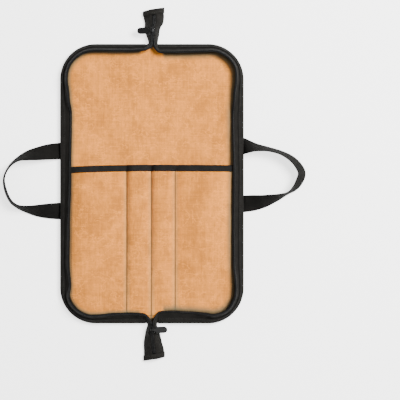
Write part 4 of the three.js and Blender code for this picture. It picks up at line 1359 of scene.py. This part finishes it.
class KnifeRollColours(bpy.types.PropertyGroup):
    """Colours of the roll's materials, as linear values."""

    canvas: FloatVectorProperty(
        name="Canvas", description="Waxed canvas", subtype="COLOR",
        default=(0.63, 0.22, 0.032), min=0.0, max=1.0,
    )
    # Colour of the painted shadow and shade on the canvas, beside the zip tape and along the seams.
    shadow: FloatVectorProperty(
        name="Shadow", description="Canvas darkened by handling", subtype="COLOR",
        default=(0.043, 0.03, 0.014), min=0.0, max=1.0,
    )
    tape: FloatVectorProperty(
        name="Tape", description="Binding and zip tape", subtype="COLOR",
        default=(0.0085, 0.0078, 0.0067), min=0.0, max=1.0,
    )
    webbing: FloatVectorProperty(
        name="Webbing", description="Handles", subtype="COLOR",
        default=(0.0075, 0.0072, 0.0065), min=0.0, max=1.0,
    )
    coil: FloatVectorProperty(
        name="Coil", description="Nylon of the zip", subtype="COLOR",
        default=(0.006, 0.006, 0.006), min=0.0, max=1.0,
    )
    metal: FloatVectorProperty(
        name="Metal", description="Paint of sliders and pulls", subtype="COLOR",
        default=(0.006, 0.006, 0.006), min=0.0, max=1.0,
    )
    bare_metal: FloatVectorProperty(
        name="Bare metal", description="Worn spots", subtype="COLOR",
        default=(0.3, 0.28, 0.25), min=0.0, max=1.0,
    )
    seam_thread: FloatVectorProperty(
        name="Seam thread", description="Thread of the pockets", subtype="COLOR",
        default=(0.10, 0.055, 0.03), min=0.0, max=1.0,
    )
    floor: FloatVectorProperty(
        name="Floor", description="Ground under the roll", subtype="COLOR",
        default=(0.92, 0.92, 0.915), min=0.0, max=1.0,
    )


def sizes():
    """The scene's sizes."""
    return bpy.context.scene.knife_roll_sizes


def colours():
    """The scene's colours."""
    return bpy.context.scene.knife_roll_colours


def shared(name, finish, *settings):
    """A material that several pieces use, made once by its finish from its settings."""
    return bpy.data.materials.get(name) or finish(name, *settings)


def tape_material():
    """Woven black tape of binding and zip."""
    return shared("woven_tape", tape_finish, colours().tape, TAPE_RIB, 0.8, 0.3)


# Stage


def add_floor():
    """A wide square just under the roll."""
    corners = [(x * FLOOR_HALF, y * FLOOR_HALF, -FLOOR_DROP) for x, y in ((-1, -1), (1, -1), (1, 1), (-1, 1))]
    mesh = bpy.data.meshes.new("floor")
    mesh.from_pydata(corners, [], [(0, 1, 2, 3)])
    floor = bpy.data.objects.new("floor", mesh)
    bpy.context.scene.collection.objects.link(floor)
    set_finish(floor, floor_finish("pale_floor", colours().floor))


def add_area_light(name, place, size, power):
    """A square area light that faces the roll's middle."""
    light = bpy.data.lights.new(name, "AREA")
    light.energy = power
    light.size = size
    obj = bpy.data.objects.new(name, light)
    obj.location = place
    obj.rotation_euler = (-Vector(place)).to_track_quat("-Z", "Y").to_euler()
    bpy.context.scene.collection.objects.link(obj)


def add_world():
    """The even light of a pale room."""
    world = bpy.data.worlds.new("studio")
    world.use_nodes = True
    background = world.node_tree.nodes["Background"]
    background.inputs["Color"].default_value = WORLD_COLOUR
    background.inputs["Strength"].default_value = WORLD_STRENGTH
    bpy.context.scene.world = world


def add_camera():
    """A camera that looks straight down, with the roll where the photo has it."""
    view = bpy.data.cameras.new("camera")
    view.lens = sizes().camera_lens
    view.sensor_width = SENSOR_WIDTH
    view.clip_end = CLIP_END
    camera = bpy.data.objects.new("camera", view)
    camera.location = (*VIEW_CENTRE, sizes().camera_distance)
    bpy.context.scene.collection.objects.link(camera)
    bpy.context.scene.camera = camera


# Operators


class KNIFEROLL_OT_canvas(bpy.types.Operator):
    """Makes the outer canvas and the lining with its soft folds"""

    bl_idname = "knife_roll.canvas"
    bl_label = "Canvas and lining"

    def execute(self, context):
        shell = canvas_layer("outer_canvas", 0, CANVAS_THICKNESS, 0)
        lining = canvas_layer("lining_canvas", LINING_SEAT, LINING_THICKNESS, sizes().lining_fullness)
        waxed = shared("waxed_canvas", canvas_finish, colours().canvas, colours().shadow)
        for obj, node, below in ((shell, "outer_panel", ()), (lining, "lining", (shell,))):
            set_finish(obj, waxed)
            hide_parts(node)
        return {"FINISHED"}


class KNIFEROLL_OT_pockets(bpy.types.Operator):
    """Makes the cloth of the four pockets and the tape over their mouths"""

    bl_idname = "knife_roll.pockets"
    bl_label = "Pockets"

    def execute(self, context):
        fullness = sizes().pocket_fullness
        cloth = pocket_panel("pocket_canvas", fullness)
        seamed = (colours().canvas, colours().shadow, DIVIDERS)
        set_finish(cloth, shared("pocket_canvas", canvas_finish, *seamed))
        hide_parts("pocket_panel")
        mouth = pocket_binding("mouth_tape", fullness)
        set_finish(mouth, tape_material())
        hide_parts("pocket_binding")
        return {"FINISHED"}


class KNIFEROLL_OT_bindings(bpy.types.Operator):
    """Makes the tape folded over the edge of each half"""

    bl_idname = "knife_roll.bindings"
    bl_label = "Edge bindings"

    def execute(self, context):
        for key, layout in HANDLES.items():
            obj = edge_binding(f"edge_tape_{key}", layout["side"])
            set_finish(obj, tape_material())
            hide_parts(f"edge_binding_{key}")
        return {"FINISHED"}


class KNIFEROLL_OT_zip(bpy.types.Operator):
    """Makes the zip's woven tapes, its open and closed coils and the hems of its tails"""

    bl_idname = "knife_roll.zip"
    bl_label = "Zip"

    def execute(self, context):
        nylon = shared("coil_nylon", coil_finish, colours().coil)
        for key, layout in HANDLES.items():
            tape = zip_tape(f"woven_zip_tape_{key}", layout["side"])
            set_finish(tape, tape_material())
            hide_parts(f"zip_tape_{key}")
            spiral = zip_coil(f"open_coil_{key}", layout["side"])
            set_finish(spiral, nylon)
            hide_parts(f"zip_coil_{key}")
        for key, tail in TAILS.items():
            spiral = closed_coil(f"closed_coil_{key}", tail)
            set_finish(spiral, nylon)
            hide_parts(f"zip_coil_tail_{key}")
            hem = tail_hem(f"folded_hem_{key}", tail)
            set_finish(hem, tape_material())
            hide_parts(f"tail_hem_{key}")
        return {"FINISHED"}


class KNIFEROLL_OT_handles(bpy.types.Operator):
    """Makes the two webbing handles"""

    bl_idname = "knife_roll.handles"
    bl_label = "Handles"

    def execute(self, context):
        finish = shared("handle_webbing", webbing_finish, colours().webbing)
        for key, layout in HANDLES.items():
            obj = handle(f"webbing_{key}", layout)
            set_finish(obj, finish)
            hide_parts(f"handle_{key}")
        return {"FINISHED"}


class KNIFEROLL_OT_thread(bpy.types.Operator):
    """Makes the rows of stitches"""

    bl_idname = "knife_roll.thread"
    bl_label = "Stitches"

    def execute(self, context):
        black = shared("black_thread", thread_finish, shade(colours().tape, 1.8))
        brown = shared("seam_thread", thread_finish, colours().seam_thread)
        for key, layout in HANDLES.items():
            set_finish(add_thread(f"binding_thread_{key}", binding_thread(layout["side"])), black)
            set_finish(add_thread(f"handle_thread_{key}", handle_thread(layout)), black)
        for key, tail in TAILS.items():
            set_finish(add_thread(f"hem_thread_{key}", hem_thread(tail)), black)
        seams = pocket_thread(sizes().pocket_fullness)
        set_finish(add_thread("pocket_thread", seams[:-1]), brown)
        set_finish(add_thread("mouth_thread", seams[-1:]), black)
        return {"FINISHED"}


class KNIFEROLL_OT_hardware(bpy.types.Operator):
    """Makes the sliders and their pulls with rounded edges"""

    bl_idname = "knife_roll.hardware"
    bl_label = "Sliders and pulls"

    def execute(self, context):
        paint = shared("painted_metal", metal_finish, colours().metal, colours().bare_metal)
        for key in TAILS:
            set_finish(hardware(f"painted_slider_{key}", f"slider_{key}", "roll"), paint)
            set_finish(hardware(f"painted_pull_{key}", f"pull_{key}", f"{key}_pull"), paint)
        return {"FINISHED"}


class KNIFEROLL_OT_stage(bpy.types.Operator):
    """Makes the floor, the soft lights and the camera that looks straight down"""

    bl_idname = "knife_roll.stage"
    bl_label = "Floor, light and camera"

    def execute(self, context):
        add_floor()
        for name, (place, size, power) in LIGHTS.items():
            add_area_light(name, place, size, power)
        add_world()
        add_camera()
        return {"FINISHED"}


class KNIFEROLL_PT_panel(bpy.types.Panel):
    """Lists the roll's sizes, colours and pieces"""

    bl_idname = "KNIFEROLL_PT_panel"
    bl_label = "Knife Roll"
    bl_space_type = "VIEW_3D"
    bl_region_type = "UI"
    bl_category = "Knife Roll"

    def draw(self, context):
        for group in (context.scene.knife_roll_sizes, context.scene.knife_roll_colours):
            for key in group.__annotations__:
                self.layout.prop(group, key)
        for operator in OPERATORS:
            self.layout.operator(operator.bl_idname)


OPERATORS = (
    KNIFEROLL_OT_canvas,
    KNIFEROLL_OT_pockets,
    KNIFEROLL_OT_bindings,
    KNIFEROLL_OT_zip,
    KNIFEROLL_OT_handles,
    KNIFEROLL_OT_thread,
    KNIFEROLL_OT_hardware,
    KNIFEROLL_OT_stage,
)
CLASSES = (KnifeRollSizes, KnifeRollColours, *OPERATORS, KNIFEROLL_PT_panel)


def register():
    for item in CLASSES:
        bpy.utils.register_class(item)
    bpy.types.Scene.knife_roll_sizes = PointerProperty(type=KnifeRollSizes)
    bpy.types.Scene.knife_roll_colours = PointerProperty(type=KnifeRollColours)


def unregister():
    del bpy.types.Scene.knife_roll_colours
    del bpy.types.Scene.knife_roll_sizes
    for item in reversed(CLASSES):
        bpy.utils.unregister_class(item)


def main():
    """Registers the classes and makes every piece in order."""
    register()
    bpy.ops.knife_roll.canvas()
    bpy.ops.knife_roll.pockets()
    bpy.ops.knife_roll.bindings()
    bpy.ops.knife_roll.zip()
    bpy.ops.knife_roll.handles()
    bpy.ops.knife_roll.thread()
    bpy.ops.knife_roll.hardware()
    bpy.ops.knife_roll.stage()


if __name__ == "__main__":
    main()
